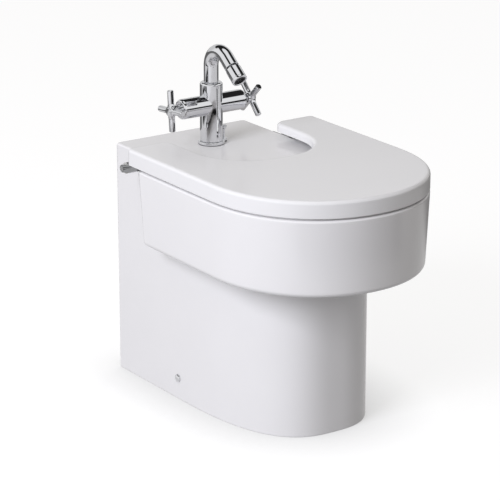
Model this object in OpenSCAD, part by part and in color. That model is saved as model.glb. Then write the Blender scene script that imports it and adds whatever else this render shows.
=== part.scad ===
// Back-to-wall bidet with a wrap-round lid, a cross-handle mixer and a pop-up waste.
// The origin is on the floor in the middle, the front faces -Y and +Z is up.

/* [Ceramic body] */
// Height of the rim and the tap deck above the floor
rim_h = 400; // [370:1:430]
// Depth from the wall to the front of the drum
body_depth = 570; // [550:1:600]
// Width of the drum and the lid
drum_w = 370; // [350:1:400]
// Width of the rear block and the pedestal
block_w = 260; // [240:1:276]
// Distance from the wall to the drum's rear end
drum_rear = 155; // [150:1:165]
// Distance from the wall to where the drum's straight sides end
drum_side = 370; // [350:1:390]
// Height of the drum's wall
drum_h = 130; // [120:1:140]
// Draft of the drum's wall, top to bottom
drum_taper = 5; // [2:0.5:9]
// Rounding of the drum's lower edge
drum_edge = 9; // [5:1:12]
// Rounding of the rim's and the deck's outer edge
rim_edge = 4; // [2:0.5:6]
// Rounding of the drum's upright rear corners
drum_corner = 9; // [5:1:14]
// Squareness of the drum's front, 2 is an ellipse
drum_pow = 2.12; // [2:0.02:2.4]
// Distance from the wall to where the pedestal's straight sides end
foot_side = 185; // [175:1:220]
// Distance from the wall to the pedestal's front
foot_front = 452; // [430:1:470]
// Squareness of the pedestal's front
foot_pow = 2.78; // [2.4:0.02:3.2]
// Thickness of the ceramic walls
wall = 13; // [11:0.5:15]
// Thickness of the deck and the rim
deck_t = 15; // [12:0.5:18]
// Width of the service opening in the back
service_w = 180; // [140:1:190]
// Height of the service opening in the back
service_h = 290; // [200:1:300]

/* [Basin] */
// Distance from the wall to the basin's rear edge
basin_rear = 312; // [310:1:316]
// Distance from the wall to the basin's front edge
basin_front = 540; // [532:1:543]
// Width of the basin at the rim
basin_w = 296; // [280:1:304]
// Depth of the basin under the rim
basin_depth = 118; // [110:1:118]
// Squareness of the basin's outline
basin_pow = 2.5; // [2.2:0.05:3]
// Share of the outline that the basin's floor keeps
floor_share = 0.33; // [0.3:0.01:0.36]
// Fullness of the basin's side walls
bowl_pow = 2.4; // [2:0.1:3]
// Thickness of the bowl
bowl_t = 11; // [9:0.5:12]
// Distance from the wall to the waste's axis
drain_back = 385; // [382:1:388]
// Diameter of the waste hole
drain_d = 45; // [44.4:0.1:47]
// Diameter of the overflow hole
overflow_d = 22; // [19:0.5:24]
// Depth of the overflow hole's axis under the rim
overflow_drop = 38; // [34:1:44]

/* [Lid] */
// Thickness of the lid
lid_t = 25; // [22:0.5:28]
// Gap between the rim and the lid
lid_gap = 2.5; // [2:0.1:3.5]
// Distance from the wall to the rear end of the lid's arms
lid_rear = 124; // [120:1:127]
// Rounding of the lid's upper edge
lid_edge = 6; // [4:0.5:8]
// Width of the tap notch
notch_w = 209; // [200:1:216]
// Distance from the wall to the notch's front edge
notch_front = 307.5; // [300:0.5:312]
// Length of the notch's rounded front part
notch_nose = 107.5; // [95:0.5:120]
// Squareness of the notch's front
notch_pow = 2.2; // [2:0.1:2.8]
// Width of the lid's solid border
lid_border = 24; // [20:1:28]
// Thickness of the lid's top skin
lid_skin = 6; // [4:0.5:9]
// Thickness of the lid's edge round the notch
notch_edge_t = 14.5; // [12:0.5:18]
// Rounding of the notch's rear corners
notch_corner = 20; // [10:1:26]
// Diameter of a lid buffer
buffer_d = 12; // [8:0.5:16]

/* [Hinges] */
// Distance from the wall to the lid's turning axis
hinge_back = 106; // [105:0.5:107]
// Depth of the turning axis under the rim
hinge_drop = 12; // [11:0.5:13]
// Diameter of the hinge pin
pin_d = 8; // [6:0.5:9]
// Wall of the hinge bush
bush_t = 2; // [1.5:0.1:2.5]
// Wall of the bracket's boss
boss_t = 3.2; // [2.5:0.1:4]
// Thickness of the hinge leaf's upright plate
leaf_t = 6; // [4:0.5:8]
// Setback of the hinge leaf from the lid's side
leaf_in = 2; // [1:0.5:4]
// Thickness of the bracket's wall plate
bracket_t = 4; // [3:0.5:6]
// Diameter of the bracket's screws
bracket_screw_d = 6; // [5:0.5:7]

/* [Tap] */
// Distance from the wall to the tap's axis
tap_back = 95; // [90:1:98]
// Diameter of the tap's column
column_d = 38; // [36:0.5:39]
// Height of the column above its flange
column_h = 100; // [96:1:106]
// Height of the flange and its gasket above the deck
flange_h = 6; // [5:0.5:8]
// Diameter of the flange
flange_d = 45; // [42:0.5:47]
// Diameter of the tap hole in the deck
tap_hole_d = 35; // [34:0.5:36]
// Diameter of a barrel
barrel_d = 34; // [32:0.5:35]
// Distance from the tap's axis to a barrel's end
barrel_end = 62.5; // [60:0.5:65]
// Height of the barrels' axis above the deck
barrel_h = 67; // [65:0.5:70]
// Diameter of a valve cartridge
cartridge_d = 22; // [20:0.5:23]
// Diameter of a spindle
spindle_d = 9; // [8:0.5:10]
// Diameter of a supply inlet
inlet_d = 10; // [9:0.5:10.5]
// Diameter of the clamping stud
stud_d = 8; // [6:0.5:8]

/* [Spout] */
// Diameter of the spout's tube
spout_d = 24.6; // [23:0.2:25.4]
// Diameter of the spout's spigot in the column
spigot_d = 22; // [20:0.5:23]
// Radius of the spout's bend
bend_r = 28; // [26:0.5:34]
// Angle that the spout turns through
bend_angle = 128; // [110:1:135]
// Height of the spout's straight part above the column
rise_h = 28; // [24:1:40]
// Length of the straight part after the bend
leg_l = 22; // [18:0.5:25]
// Diameter of the tilting nozzle
nozzle_d = 26; // [24:0.5:27]
// Length of the tilting nozzle
nozzle_l = 26; // [24:0.5:30]
// Diameter of the nozzle's ball
ball_d = 19; // [18:0.5:19.5]

/* [Handles] */
// Distance from the tap's axis to the handles' arms
arm_out = 79; // [77:0.5:82]
// Length of a handle across its arms
arm_span = 70; // [60:1:78]
// Diameter of a handle's arm
arm_d = 10.4; // [8:0.2:11]
// Diameter of a handle's hub
hub_d = 17; // [15:0.5:18.5]
// Turn of the left handle from upright
left_turn = 4.6; // [0:0.1:45]
// Turn of the right handle from upright
right_turn = 46; // [0:1:50]

/* [Pop-up] */
// Distance from the tap's axis to the lift rod
rod_out = 25; // [24.6:0.1:26]
// Diameter of the lift rod
rod_d = 4; // [3:0.1:4.4]
// Travel of the lift rod
rod_travel = 14.5; // [10:0.5:14.5]
// Diameter of the lift knob
knob_d = 9; // [7:0.5:10]
// Distance from the waste's axis to the lever's ball
inner_arm = 30; // [29:0.5:32]
// Distance from the lever's ball to the linkage strap
outer_arm = 105; // [100:1:115]
// Diameter of the lever
lever_d = 5; // [4:0.2:5.2]
// Diameter of the lever's ball
lever_ball_d = 12; // [11:0.2:13]

/* [Waste] */
// Diameter of the waste flange
waste_flange_d = 64; // [62:0.5:66]
// Outer diameter of the waste body's upper tube
waste_d = 42; // [41:0.2:42.6]
// Outer diameter of the tailpiece
tail_d = 32; // [30:0.5:33]
// Height of the tailpiece's lower end under the rim
tail_drop = 260; // [240:1:290]
// Diameter of the plug
plug_d = 40; // [38:0.5:44]

/* [Fixings] */
// Distance from the wall to the pedestal's side screws
side_fix_back = 188; // [170:1:210]
// Height of the pedestal's side screws
side_fix_h = 37; // [32:1:50]
// Diameter of a side cap
cap_d = 15; // [13:0.5:18]
// Diameter of a floor hole in a bracket
floor_hole_d = 8.4; // [7:0.1:9]
// Distance between a bracket's floor holes, front to back
floor_hole_gap = 24; // [20:1:28]

/* [Hidden] */

$fn = 64;
// Radial play of a part that turns or slides in another, and of one that only sits in it
play = 0.06;
// Play between parts that are clamped or screwed together
seat = 0.05;
// Thickness of the slices that a hull joins
slice = 0.02;
// Spare length of a cutter beyond the face that it cuts
over = 1;

back_y = body_depth / 2;
tap_y = back_y - tap_back;
drain_y = back_y - drain_back;
hinge_y = back_y - hinge_back;
hinge_z = rim_h - hinge_drop;
drum_nose = body_depth - drum_side;
foot_nose = foot_front - foot_side;
foot_corner = 6;
drum_bottom = rim_h - drum_h;
inner_top = rim_h - deck_t;

basin_mid = (basin_rear + basin_front) / 2;
basin_half = (basin_front - basin_rear) / 2;
basin_floor = rim_h - basin_depth;
basin_lip = 3;
basin_rise = 1 - basin_lip / basin_depth;
bowl_levels = [0, 0.04, 0.12, 0.26, 0.5, 0.78, basin_rise];
throat_t = 24;
throat_bottom = basin_floor - throat_t;
throat_wall = 13.5;
seat_recess = 3;
duct_d = 18;
duct_wall = 8;
duct_back = basin_rear - bowl_t - duct_d / 2 - 4;
overflow_z = rim_h - overflow_drop;
overflow_face = back_y - basin_rear - 1;
side_duct_d = 12;
side_duct_wall = 5;
side_duct_z = throat_bottom + side_duct_d / 2 + side_duct_wall + 0.5;

lid_bottom = rim_h + lid_gap;
lid_top = lid_bottom + lid_t;
lid_side = drum_w / 2;
notch_half = notch_w / 2;
notch_straight = notch_front - notch_nose;
arm_solid = 34;
buffer_gap = 0.2;
buffer_pocket = 1.5;

leaf_flange_t = 3;
leaf_flange_w = 31;
leaf_rear = lid_rear + 4;
leaf_front = drum_rear - 3;
leaf_out = lid_side - leaf_in;
leaf_block_x = leaf_out - leaf_flange_w - 4;
knuckle_r = pin_d / 2 + 2.6;
bush_flange_t = 1.5;
boss_r = pin_d / 2 + bush_t + boss_t;
boss_end = leaf_out - leaf_t - bush_flange_t - 1;
gasket_t = 1;
bracket_x = block_w / 2 + gasket_t + seat;
bracket_low = 22;
bracket_half = 22;
pin_in = block_w / 2 + gasket_t + bracket_t + 3;
bracket_screw_z = hinge_z - 22;
bracket_screw_dy = 14;
leaf_screw_d = 4;
leaf_screw_x = leaf_out - leaf_t - 10;

gasket_h = 1;
column_bottom = rim_h + flange_h;
column_top = column_bottom + column_h;
column_bevel = 4;
barrel_z = rim_h + barrel_h;
barrel_bevel = 5;
spigot_guide_d = 30;
spigot_guide_l = flange_h + 3;
cartridge_in = 31;
supply_d = 7;
mix_d = 5;
mix_h = 11.5;
inlet_x = 7.5;
inlet_y = 3.5;
inlet_depth = 14;
stud_y = -9;
stud_up = 12;
stud_l = 58;
clamp_r = 21;
clamp_seal_t = 3;
clamp_t = 2.5;
nut_t = 6.5;

spout_socket_l = 30;
spigot_l = spout_socket_l - 4;
spout_bore_d = 17;
spigot_bore_d = 14;
rise_z = column_top + rise_h;
grub_z = column_top - 9;
grub_d = 4;
grub_groove = 1.2;
seal_section = 2.4;
seal_depth = [15.5, 22];
nozzle_gap = 3;
nozzle_start = leg_l + nozzle_gap;
ball_s = nozzle_start + 7;
ball_bore_d = 10;
ball_neck_d = 14;
ball_thread_l = 9;
insert_l = 7;

spindle_in = 42;
hub_in = arm_out - 9;
hub_out = arm_out + 6;
spindle_out = hub_out - 4.5;
hub_rim = 2;
cap_t = 2.6;
handle_screw_d = 4;
handle_screw_head = 2.4;

lobe_r = 5.5;
knob_h = 7;
knob_z = column_bottom + rod_travel + 0.5;
rod_low = barrel_z - 167;
clamp_h = 12;
link_angle = atan2(rod_out, drain_back - tap_back);
link_back = norm([rod_out, drain_back - tap_back]);
strap_t = 1.6;
strap_w = 14;
strap_y = inner_arm + outer_arm;
lever_z = throat_bottom - 28;
strap_low = lever_z - 12;
strap_knee = lever_z + 30;
strap_hole_d = lever_d + 4;
port_r = 11;
port_bore_r = 9;
port_end = inner_arm + 7;
nut_hex_r = 14;
lever_hole_r = lever_d / 2 + 3;

flange_plate = 3;
washer_top_t = 1;
waste_flange_z = basin_floor - seat_recess + washer_top_t;
waste_top = basin_floor - 6;
waste_bore_d = 31;
upper_bore_d = 37;
body_foot = lever_z - 14;
washer_low_t = 4;
waste_nut_t = 8;
tail_bottom = rim_h - tail_drop;
tail_bore_d = tail_d - 3;
plug_z = waste_flange_z + flange_plate + 0.3;
plug_t = 4;
stem_d = 7;
stem_low = lever_z + lever_d / 2 + 0.7;
fin_top = waste_flange_z - 3;
fin_low = fin_top - 22;

side_inner = block_w / 2 - wall;
bracket_plate = 6;
bracket_foot = 46;
bracket_depth = 44;
bracket_tall = 56;
side_screw_d = 6;
side_screw_l = 30;
cap_h = 5;

// Point number i of n on a rounded nose that points to -Y
function nose_point(half, y, nose, squareness, i, n) =
  let (a = 180 * i / n, c = cos(a), s = sin(a))
  [half * sign(c) * pow(abs(c), 2 / squareness), y - nose * pow(abs(s), 2 / squareness)];

// Outline with straight sides, a rounded nose in front and rounded rear corners
function d_outline(half, rear, side, nose, squareness, corner, inset) =
  let (w = half - inset, top = back_y - rear - inset, bend = back_y - side, r = corner, n = 28)
  concat(
    [for (i = [0:4]) let (a = 90 - 22.5 * i) [w - r + r * cos(a), top - r + r * sin(a)]],
    [for (i = [0:n]) nose_point(w, bend, nose - inset, squareness, i, n)],
    [for (i = [0:4]) let (a = 180 - 22.5 * i) [-w + r + r * cos(a), top - r + r * sin(a)]]
  );

// Closed oval with its middle at a distance from the wall
function oval(half_x, half_y, back, squareness) =
  [for (i = [0:47])
    let (a = 7.5 * i, c = cos(a), s = sin(a))
    [half_x * sign(c) * pow(abs(c), 2 / squareness),
     back_y - back + half_y * sign(s) * pow(abs(s), 2 / squareness)]];

function drum_plan(inset) =
  d_outline(drum_w / 2, drum_rear, drum_side, drum_nose, drum_pow, drum_corner, inset);
function foot_plan(inset) =
  d_outline(block_w / 2, 0, foot_side, foot_nose, foot_pow, foot_corner, inset);
function lid_plan(inset) =
  d_outline(drum_w / 2, lid_rear, drum_side, drum_nose, drum_pow, drum_corner, inset);

// Share of the rim's outline at a share of the basin's depth above its floor
function bowl_share(h) =
  floor_share + (1 - floor_share) * pow(1 - pow(1 - h, bowl_pow), 1 / bowl_pow);

module layer(z, points) translate([0, 0, z]) linear_extrude(slice) polygon(points);

module drum_solid() hull() {
  layer(rim_h - slice, drum_plan(rim_edge));
  layer(rim_h - rim_edge * 0.3, drum_plan(rim_edge * 0.3));
  layer(rim_h - rim_edge, drum_plan(0));
  layer(drum_bottom + drum_edge, drum_plan(drum_taper));
  layer(drum_bottom + drum_edge * 0.3, drum_plan(drum_taper + drum_edge * 0.3));
  layer(drum_bottom, drum_plan(drum_taper + drum_edge));
}

module drum_hollow() hull() {
  layer(inner_top - slice, drum_plan(wall));
  layer(drum_bottom + wall, drum_plan(wall + drum_taper));
}

module foot_solid() hull() {
  layer(rim_h - slice, foot_plan(rim_edge));
  layer(rim_h - rim_edge * 0.3, foot_plan(rim_edge * 0.3));
  layer(rim_h - rim_edge, foot_plan(0));
  layer(0, foot_plan(0));
}

// The basin's space, or the bowl's outside when it is grown
module bowl_form(grow) hull() for (h = bowl_levels)
  let (k = bowl_share(h), mid = drain_back + (basin_mid - drain_back) * k)
  layer(basin_floor - grow * (1 - h) + h * basin_depth,
    oval(basin_w / 2 * k + grow, basin_half * k + grow, mid, basin_pow));

module basin_mouth() hull() {
  layer(rim_h - basin_lip - slice, oval(basin_w / 2, basin_half, basin_mid, basin_pow));
  layer(rim_h + slice, oval(basin_w / 2 + basin_lip, basin_half + basin_lip, basin_mid, basin_pow));
}

// Tube or rod along Y, from one distance to another
module along_y(d, y0, y1) translate([0, y0, 0]) rotate([-90, 0, 0]) cylinder(d = d, h = y1 - y0);
// Tube or rod along X on one side, from one distance to another
module along_x(d, x0, x1) translate([x0, 0, 0]) rotate([0, 90, 0]) cylinder(d = d, h = x1 - x0);
module both_sides() { children(); mirror([1, 0, 0]) children(); }
module at_tap() translate([0, tap_y, 0]) children();
module at_drain() translate([0, drain_y, 0]) children();
module at_hinge() translate([0, hinge_y, hinge_z]) children();
module at_barrel() translate([0, tap_y, barrel_z]) children();
// Frame of the pop-up linkage: +Y runs from the waste's axis to the lift rod
module at_link() at_drain() rotate([0, 0, -link_angle]) children();
// Frame at a distance past the end of the spout's bend, with +Z along the water
module at_leg(s) translate([0, tap_y - bend_r, rise_z]) rotate([bend_angle, 0, 0])
  translate([0, bend_r, s]) children();

module ring(outer_d, inner_d, h) difference() {
  cylinder(d = outer_d, h = h);
  translate([0, 0, -over]) cylinder(d = inner_d, h = h + 2 * over);
}

module overflow_duct() {
  translate([0, back_y - duct_back, side_duct_z])
    cylinder(d = duct_d + 2 * duct_wall, h = inner_top - side_duct_z + over);
  translate([0, 0, side_duct_z])
    along_y(side_duct_d + 2 * side_duct_wall, drain_y + drain_d / 2 + 4, back_y - duct_back);
}

module overflow_bore() {
  translate([0, back_y - duct_back, side_duct_z - side_duct_d / 2])
    cylinder(d = duct_d, h = overflow_z + overflow_d / 2 - side_duct_z + side_duct_d / 2);
  translate([0, 0, side_duct_z]) along_y(side_duct_d, drain_y, back_y - duct_back);
  translate([0, 0, overflow_z]) {
    along_y(overflow_d, overflow_face - 20, back_y - duct_back);
    along_y(overflow_d + 8, overflow_face - 20, overflow_face);
  }
}

module ceramic_body() color("white") difference() {
  union() {
    difference() {
      union() {
        foot_solid();
        drum_solid();
      }
      translate([0, 0, -over]) linear_extrude(inner_top + over) polygon(foot_plan(wall));
      drum_hollow();
    }
    bowl_form(bowl_t);
    at_drain() translate([0, 0, throat_bottom]) cylinder(d = drain_d + 2 * throat_wall, h = throat_t);
    overflow_duct();
  }
  bowl_form(0);
  basin_mouth();
  at_drain() translate([0, 0, throat_bottom - over]) cylinder(d = drain_d, h = throat_t + 2 * over);
  at_drain() translate([0, 0, basin_floor - seat_recess])
    cylinder(d = waste_flange_d + 1, h = seat_recess + over);
  overflow_bore();
  at_tap() translate([0, 0, inner_top - over]) cylinder(d = tap_hole_d, h = deck_t + 2 * over);
  at_tap() translate([rod_out, 0, inner_top - over]) cylinder(d = rod_d + 2, h = deck_t + 2 * over);
  translate([-service_w / 2, back_y - wall - over, -over])
    cube([service_w, wall + 2 * over, service_h + over]);
  both_sides() {
    translate([0, back_y - side_fix_back, side_fix_h])
      along_x(side_screw_d + 3, side_inner - over, block_w / 2 + over);
    for (s = [-1, 1]) translate([0, hinge_y + s * bracket_screw_dy, bracket_screw_z])
      along_x(bracket_screw_d + 1.5, side_inner - over, block_w / 2 + over);
  }
}

function notch_plan(grow) = let (w = notch_half + grow, rear = back_y - lid_rear, r = notch_corner) concat(
  [[w + r, rear + 20]],
  [for (i = [0:4]) let (a = 90 + 22.5 * i) [w + r + r * cos(a), rear - r + r * sin(a)]],
  [for (i = [0:24]) nose_point(w, back_y - notch_straight, notch_nose + grow, notch_pow, i, 24)],
  [for (i = [0:4]) let (a = 22.5 * i) [-w - r + r * cos(a), rear - r + r * sin(a)]],
  [[-w - r, rear + 20]]
);

module buffer_spots() {
  inset = lid_border / 2 + 1;
  for (i = [2, 5]) {
    p = nose_point(drum_w / 2 - inset, back_y - drum_side, drum_nose - inset, drum_pow, i, 7);
    translate([p[0], p[1], 0]) children();
  }
  both_sides() translate([lid_side - inset, back_y - drum_rear - 60, 0]) children();
}

module lid() color("whitesmoke") difference() {
  hull() {
    layer(lid_bottom, lid_plan(1));
    layer(lid_bottom + 1.5, lid_plan(0));
    layer(lid_top - lid_edge, lid_plan(0));
    layer(lid_top - lid_edge * 0.62, lid_plan(lid_edge * 0.08));
    layer(lid_top - lid_edge * 0.3, lid_plan(lid_edge * 0.3));
    layer(lid_top - lid_edge * 0.08, lid_plan(lid_edge * 0.62));
    layer(lid_top - slice, lid_plan(lid_edge));
  }
  translate([0, 0, lid_bottom - over]) linear_extrude(lid_t + 2 * over) polygon(notch_plan(0));
  translate([0, 0, lid_bottom - over]) linear_extrude(lid_t - lid_skin + over) difference() {
    polygon(lid_plan(lid_border));
    polygon(notch_plan(lid_border / 2));
    translate([-lid_side, back_y - lid_rear - lid_border - arm_solid]) square([drum_w, 100]);
  }
  translate([0, 0, lid_bottom - over]) linear_extrude(lid_t - notch_edge_t + over) difference() {
    union() {
      polygon(lid_plan(lid_border));
      translate([-leaf_block_x, back_y - leaf_front - arm_solid]) square([2 * leaf_block_x, 100]);
    }
    both_sides() translate([leaf_block_x, back_y - leaf_front - 6]) square([lid_side, 100]);
  }
  buffer_spots() translate([0, 0, lid_bottom - over]) cylinder(d = buffer_d + 2 * seat, h = buffer_pocket + over);
  both_sides() for (y = leaf_screw_ys) translate([leaf_screw_x, y, lid_bottom - over])
    cylinder(d = leaf_screw_d + 2 * seat, h = 14 + over);
}

leaf_screw_ys = [back_y - leaf_rear - 5, back_y - leaf_front + 5];

module lid_buffers() color("gainsboro") buffer_spots()
  translate([0, 0, rim_h + buffer_gap]) cylinder(d = buffer_d, h = lid_gap + buffer_pocket - buffer_gap - seat);

// Right-hand leaf: a flange under the lid's arm and an upright plate down to the pin
module hinge_leaf() {
  flange_z = lid_bottom - leaf_flange_t - seat;
  difference() {
    union() {
      translate([leaf_out - leaf_flange_w, back_y - leaf_front, flange_z])
        cube([leaf_flange_w, leaf_front - leaf_rear, leaf_flange_t]);
      translate([leaf_out - leaf_t, 0, 0]) rotate([90, 0, 90]) linear_extrude(leaf_t) polygon([
        [hinge_y + knuckle_r * cos(75), hinge_z + knuckle_r * sin(75)],
        [back_y - leaf_rear - 9, flange_z + 0.5],
        [back_y - leaf_front, flange_z + 0.5],
        [back_y - leaf_front, flange_z - 5],
        [hinge_y + knuckle_r * cos(255), hinge_z + knuckle_r * sin(255)]
      ]);
      at_hinge() along_x(2 * knuckle_r, leaf_out - leaf_t, leaf_out);
    }
    at_hinge() along_x(pin_d + 2 * seat, leaf_out - leaf_t - over, leaf_out + over);
    for (y = leaf_screw_ys) translate([leaf_screw_x, y, flange_z - over])
      cylinder(d = leaf_screw_d + 2 * seat, h = leaf_flange_t + 2 * over);
  }
}
module hinge_leaf_right() color("silver") hinge_leaf();
module hinge_leaf_left() color("silver") mirror([1, 0, 0]) hinge_leaf();

module hinge_pin() at_hinge() along_x(pin_d, pin_in, leaf_out);
module hinge_pin_right() color("lightgray") hinge_pin();
module hinge_pin_left() color("lightgray") mirror([1, 0, 0]) hinge_pin();

module hinge_bush() at_hinge() difference() {
  union() {
    along_x(pin_d + 2 * bush_t, pin_in, boss_end);
    along_x(2 * boss_r, boss_end + seat, boss_end + seat + bush_flange_t);
    along_x(pin_d + 2 * bush_t, boss_end, boss_end + seat + over);
  }
  along_x(pin_d + 2 * play, pin_in - over, boss_end + bush_flange_t + over);
}
module hinge_bush_right() color("dimgray") hinge_bush();
module hinge_bush_left() color("dimgray") mirror([1, 0, 0]) hinge_bush();

// Right-hand bracket: a plate on the block's side and a boss that holds the bush
module hinge_bracket() difference() {
  union() {
    translate([bracket_x, hinge_y - bracket_half, bracket_screw_z - 10])
      cube([bracket_t, 2 * bracket_half, hinge_z - bracket_screw_z + 10 + boss_r]);
    at_hinge() along_x(2 * boss_r, bracket_x + bracket_t - over, boss_end);
    translate([bracket_x + bracket_t - over, hinge_y - 3, bracket_screw_z - 6]) rotate([90, 0, 90])
      linear_extrude(14) square([6, hinge_z - bracket_screw_z]);
  }
  at_hinge() along_x(pin_d + 2 * bush_t + 2 * seat, pin_in - seat, boss_end + over);
  for (s = [-1, 1]) translate([0, hinge_y + s * bracket_screw_dy, bracket_screw_z])
    along_x(bracket_screw_d + 2 * seat, bracket_x - over, bracket_x + bracket_t + over);
}
module hinge_bracket_right() color("silver") hinge_bracket();
module hinge_bracket_left() color("silver") mirror([1, 0, 0]) hinge_bracket();

module bracket_gaskets() color("black") both_sides() difference() {
  translate([block_w / 2 + seat / 2, hinge_y - bracket_half, bracket_screw_z - 10])
    cube([gasket_t, 2 * bracket_half, hinge_z - bracket_screw_z + 10 + boss_r]);
  for (s = [-1, 1]) translate([0, hinge_y + s * bracket_screw_dy, bracket_screw_z])
    along_x(bracket_screw_d + 2 * seat, block_w / 2 - over, block_w / 2 + gasket_t + over);
}

module each_bracket_screw() both_sides() for (s = [-1, 1])
  translate([0, hinge_y + s * bracket_screw_dy, bracket_screw_z]) children();

module bracket_screws() color("silver") each_bracket_screw() {
  along_x(bracket_screw_d, side_inner - 10, bracket_x + bracket_t + over);
  difference() {
    along_x(bracket_screw_d + 5, bracket_x + bracket_t + seat, bracket_x + bracket_t + seat + 4);
    translate([bracket_x + bracket_t + 2, 0, 0]) rotate([0, 90, 0]) cylinder(d = 4.6, h = 4, $fn = 6);
  }
}

module bracket_nuts() color("gray") each_bracket_screw() difference() {
  union() {
    along_x(bracket_screw_d + 12, side_inner - 2 - seat, side_inner - seat);
    translate([side_inner - 7, 0, 0]) rotate([0, 90, 0]) cylinder(d = bracket_screw_d * 1.9, h = 5.5, $fn = 6);
  }
  along_x(bracket_screw_d + 2 * seat, side_inner - 10, side_inner + over);
}

module leaf_screws() color("silver") both_sides() for (y = leaf_screw_ys)
  translate([leaf_screw_x, y, lid_bottom - leaf_flange_t - 2 * seat]) {
    difference() {
      translate([0, 0, -2.4]) cylinder(d = 2 * leaf_screw_d, h = 2.4);
      translate([0, 0, -2.4 - over]) cylinder(d = 2.8, h = 1.4 + over, $fn = 6);
    }
    translate([0, 0, -0.5]) cylinder(d = leaf_screw_d, h = leaf_flange_t + 12);
  }

// Round bar along X with a bevelled outer end, on the right
module bevelled_bar(d, x0, x1, bevel) rotate([0, 90, 0]) {
  translate([0, 0, x0]) cylinder(d = d, h = x1 - bevel - x0);
  translate([0, 0, x1 - bevel]) cylinder(d1 = d, d2 = d - 1.6 * bevel, h = bevel);
}

module tap_body() color("silver") difference() {
  union() {
    at_tap() {
      translate([0, 0, column_bottom]) cylinder(d = column_d, h = column_h - column_bevel);
      translate([0, 0, column_top - column_bevel])
        cylinder(d1 = column_d, d2 = column_d - 1.7 * column_bevel, h = column_bevel);
      translate([0, 0, column_bottom - spigot_guide_l]) cylinder(d = spigot_guide_d, h = spigot_guide_l + over);
    }
    at_barrel() both_sides() bevelled_bar(barrel_d, 0, barrel_end, barrel_bevel);
  }
  at_tap() {
    translate([0, 0, column_top - spout_socket_l]) cylinder(d = spigot_d + 2 * play, h = spout_socket_l + over);
    for (x = [-inlet_x, inlet_x]) translate([x, inlet_y, column_bottom - spigot_guide_l - over]) {
      cylinder(d = inlet_d, h = inlet_depth + over);
      cylinder(d = supply_d, h = barrel_z - column_bottom + spigot_guide_l);
    }
    translate([0, stud_y, column_bottom - spigot_guide_l - over])
      cylinder(d = stud_d + 2 * seat, h = spigot_guide_l + stud_up + over);
    translate([0, 0, grub_z]) along_y(grub_d + 2 * seat, -column_d / 2 - over, 0);
  }
  at_barrel() both_sides() {
    along_x(cartridge_d + 2 * seat, cartridge_in, barrel_end + over);
    along_x(supply_d + 2, inlet_x - supply_d / 2, cartridge_in + over);
    translate([0, 0, mix_h]) along_x(mix_d, spigot_d / 2 - 3, cartridge_in + 9);
  }
}

module tap_flange() color("silver") at_tap() difference() {
  union() {
    translate([0, 0, rim_h + gasket_h + seat]) cylinder(d = flange_d, h = flange_h - gasket_h - 2 * seat - 1.5);
    translate([0, 0, column_bottom - seat - 1.5]) cylinder(d1 = flange_d, d2 = flange_d - 3, h = 1.5);
    translate([rod_out, 0, rim_h + gasket_h + seat]) cylinder(r = lobe_r, h = flange_h - gasket_h - 2 * seat);
  }
  translate([0, 0, rim_h]) cylinder(d = spigot_guide_d + 2 * seat, h = flange_h + over);
  translate([rod_out, 0, rim_h]) cylinder(d = rod_d + 2 * play, h = flange_h + over);
}

module tap_gasket() color("dimgray") at_tap() difference() {
  union() {
    translate([0, 0, rim_h + seat / 2]) cylinder(d = flange_d - 1, h = gasket_h);
    translate([rod_out, 0, rim_h + seat / 2]) cylinder(r = lobe_r - 0.5, h = gasket_h);
  }
  translate([0, 0, rim_h - over]) cylinder(d = spigot_guide_d + 2 * seat, h = gasket_h + 2 * over);
  translate([rod_out, 0, rim_h - over]) cylinder(d = rod_d + 2, h = gasket_h + 2 * over);
}

module tap_stud() color("gold") at_tap()
  translate([0, stud_y, column_bottom + stud_up - stud_l - spigot_guide_l + 8]) cylinder(d = stud_d, h = stud_l);

// Horseshoe plate under the deck, open at the rear for the supply tails
module horseshoe(h, stud_hole) difference() {
  cylinder(r = clamp_r, h = h);
  translate([-inlet_x - 6, inlet_y - 4 - inlet_d / 2 - 1, -over]) cube([2 * inlet_x + 12, 2 * clamp_r, h + 2 * over]);
  translate([0, stud_y - 4, -over]) cylinder(d = stud_hole, h = h + 2 * over);
}

module tap_clamp_seal() color("dimgray") at_tap() translate([0, 4, inner_top - clamp_seal_t - seat])
  horseshoe(clamp_seal_t, stud_d + 2 * seat);
module tap_washer() color("silver") at_tap() translate([0, 4, inner_top - clamp_seal_t - clamp_t - 2 * seat])
  horseshoe(clamp_t, stud_d + 2 * seat);
module tap_nut() color("gold") at_tap()
  translate([0, stud_y, inner_top - clamp_seal_t - clamp_t - nut_t - 3 * seat]) difference() {
    cylinder(d = stud_d * 1.85, h = nut_t, $fn = 6);
    translate([0, 0, -over]) cylinder(d = stud_d + 2 * seat, h = nut_t + 2 * over);
  }

// Everything is placed from the centre of the bend
module spout() color("silver") translate([0, tap_y - bend_r, rise_z]) {
  translate([0, bend_r, -rise_h]) difference() {
    union() {
      translate([0, 0, -spigot_l]) cylinder(d = spigot_d, h = spigot_l + over);
      translate([0, 0, 0.3]) cylinder(d = spout_d, h = rise_h - 0.3);
    }
    translate([0, 0, -spigot_l - over]) cylinder(d = spigot_bore_d, h = spigot_l + 2 * over);
    translate([0, 0, 0.3]) cylinder(d = spout_bore_d, h = rise_h + over);
    for (z = seal_depth) translate([0, 0, -z])
      ring(spigot_d + 2, spigot_d - 1.6 * seal_section, seal_section + 0.2);
    translate([0, 0, grub_z - column_top - grub_d / 2 - 0.4])
      ring(spigot_d + 2, spigot_d - 2 * grub_groove, grub_d + 0.8);
  }
  rotate([90, 0, 90]) rotate_extrude(angle = bend_angle) translate([bend_r, 0]) difference() {
    circle(d = spout_d);
    circle(d = spout_bore_d);
  }
  rotate([bend_angle, 0, 0]) translate([0, bend_r, 0]) ring(spout_d, spout_bore_d, leg_l);
}

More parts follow.
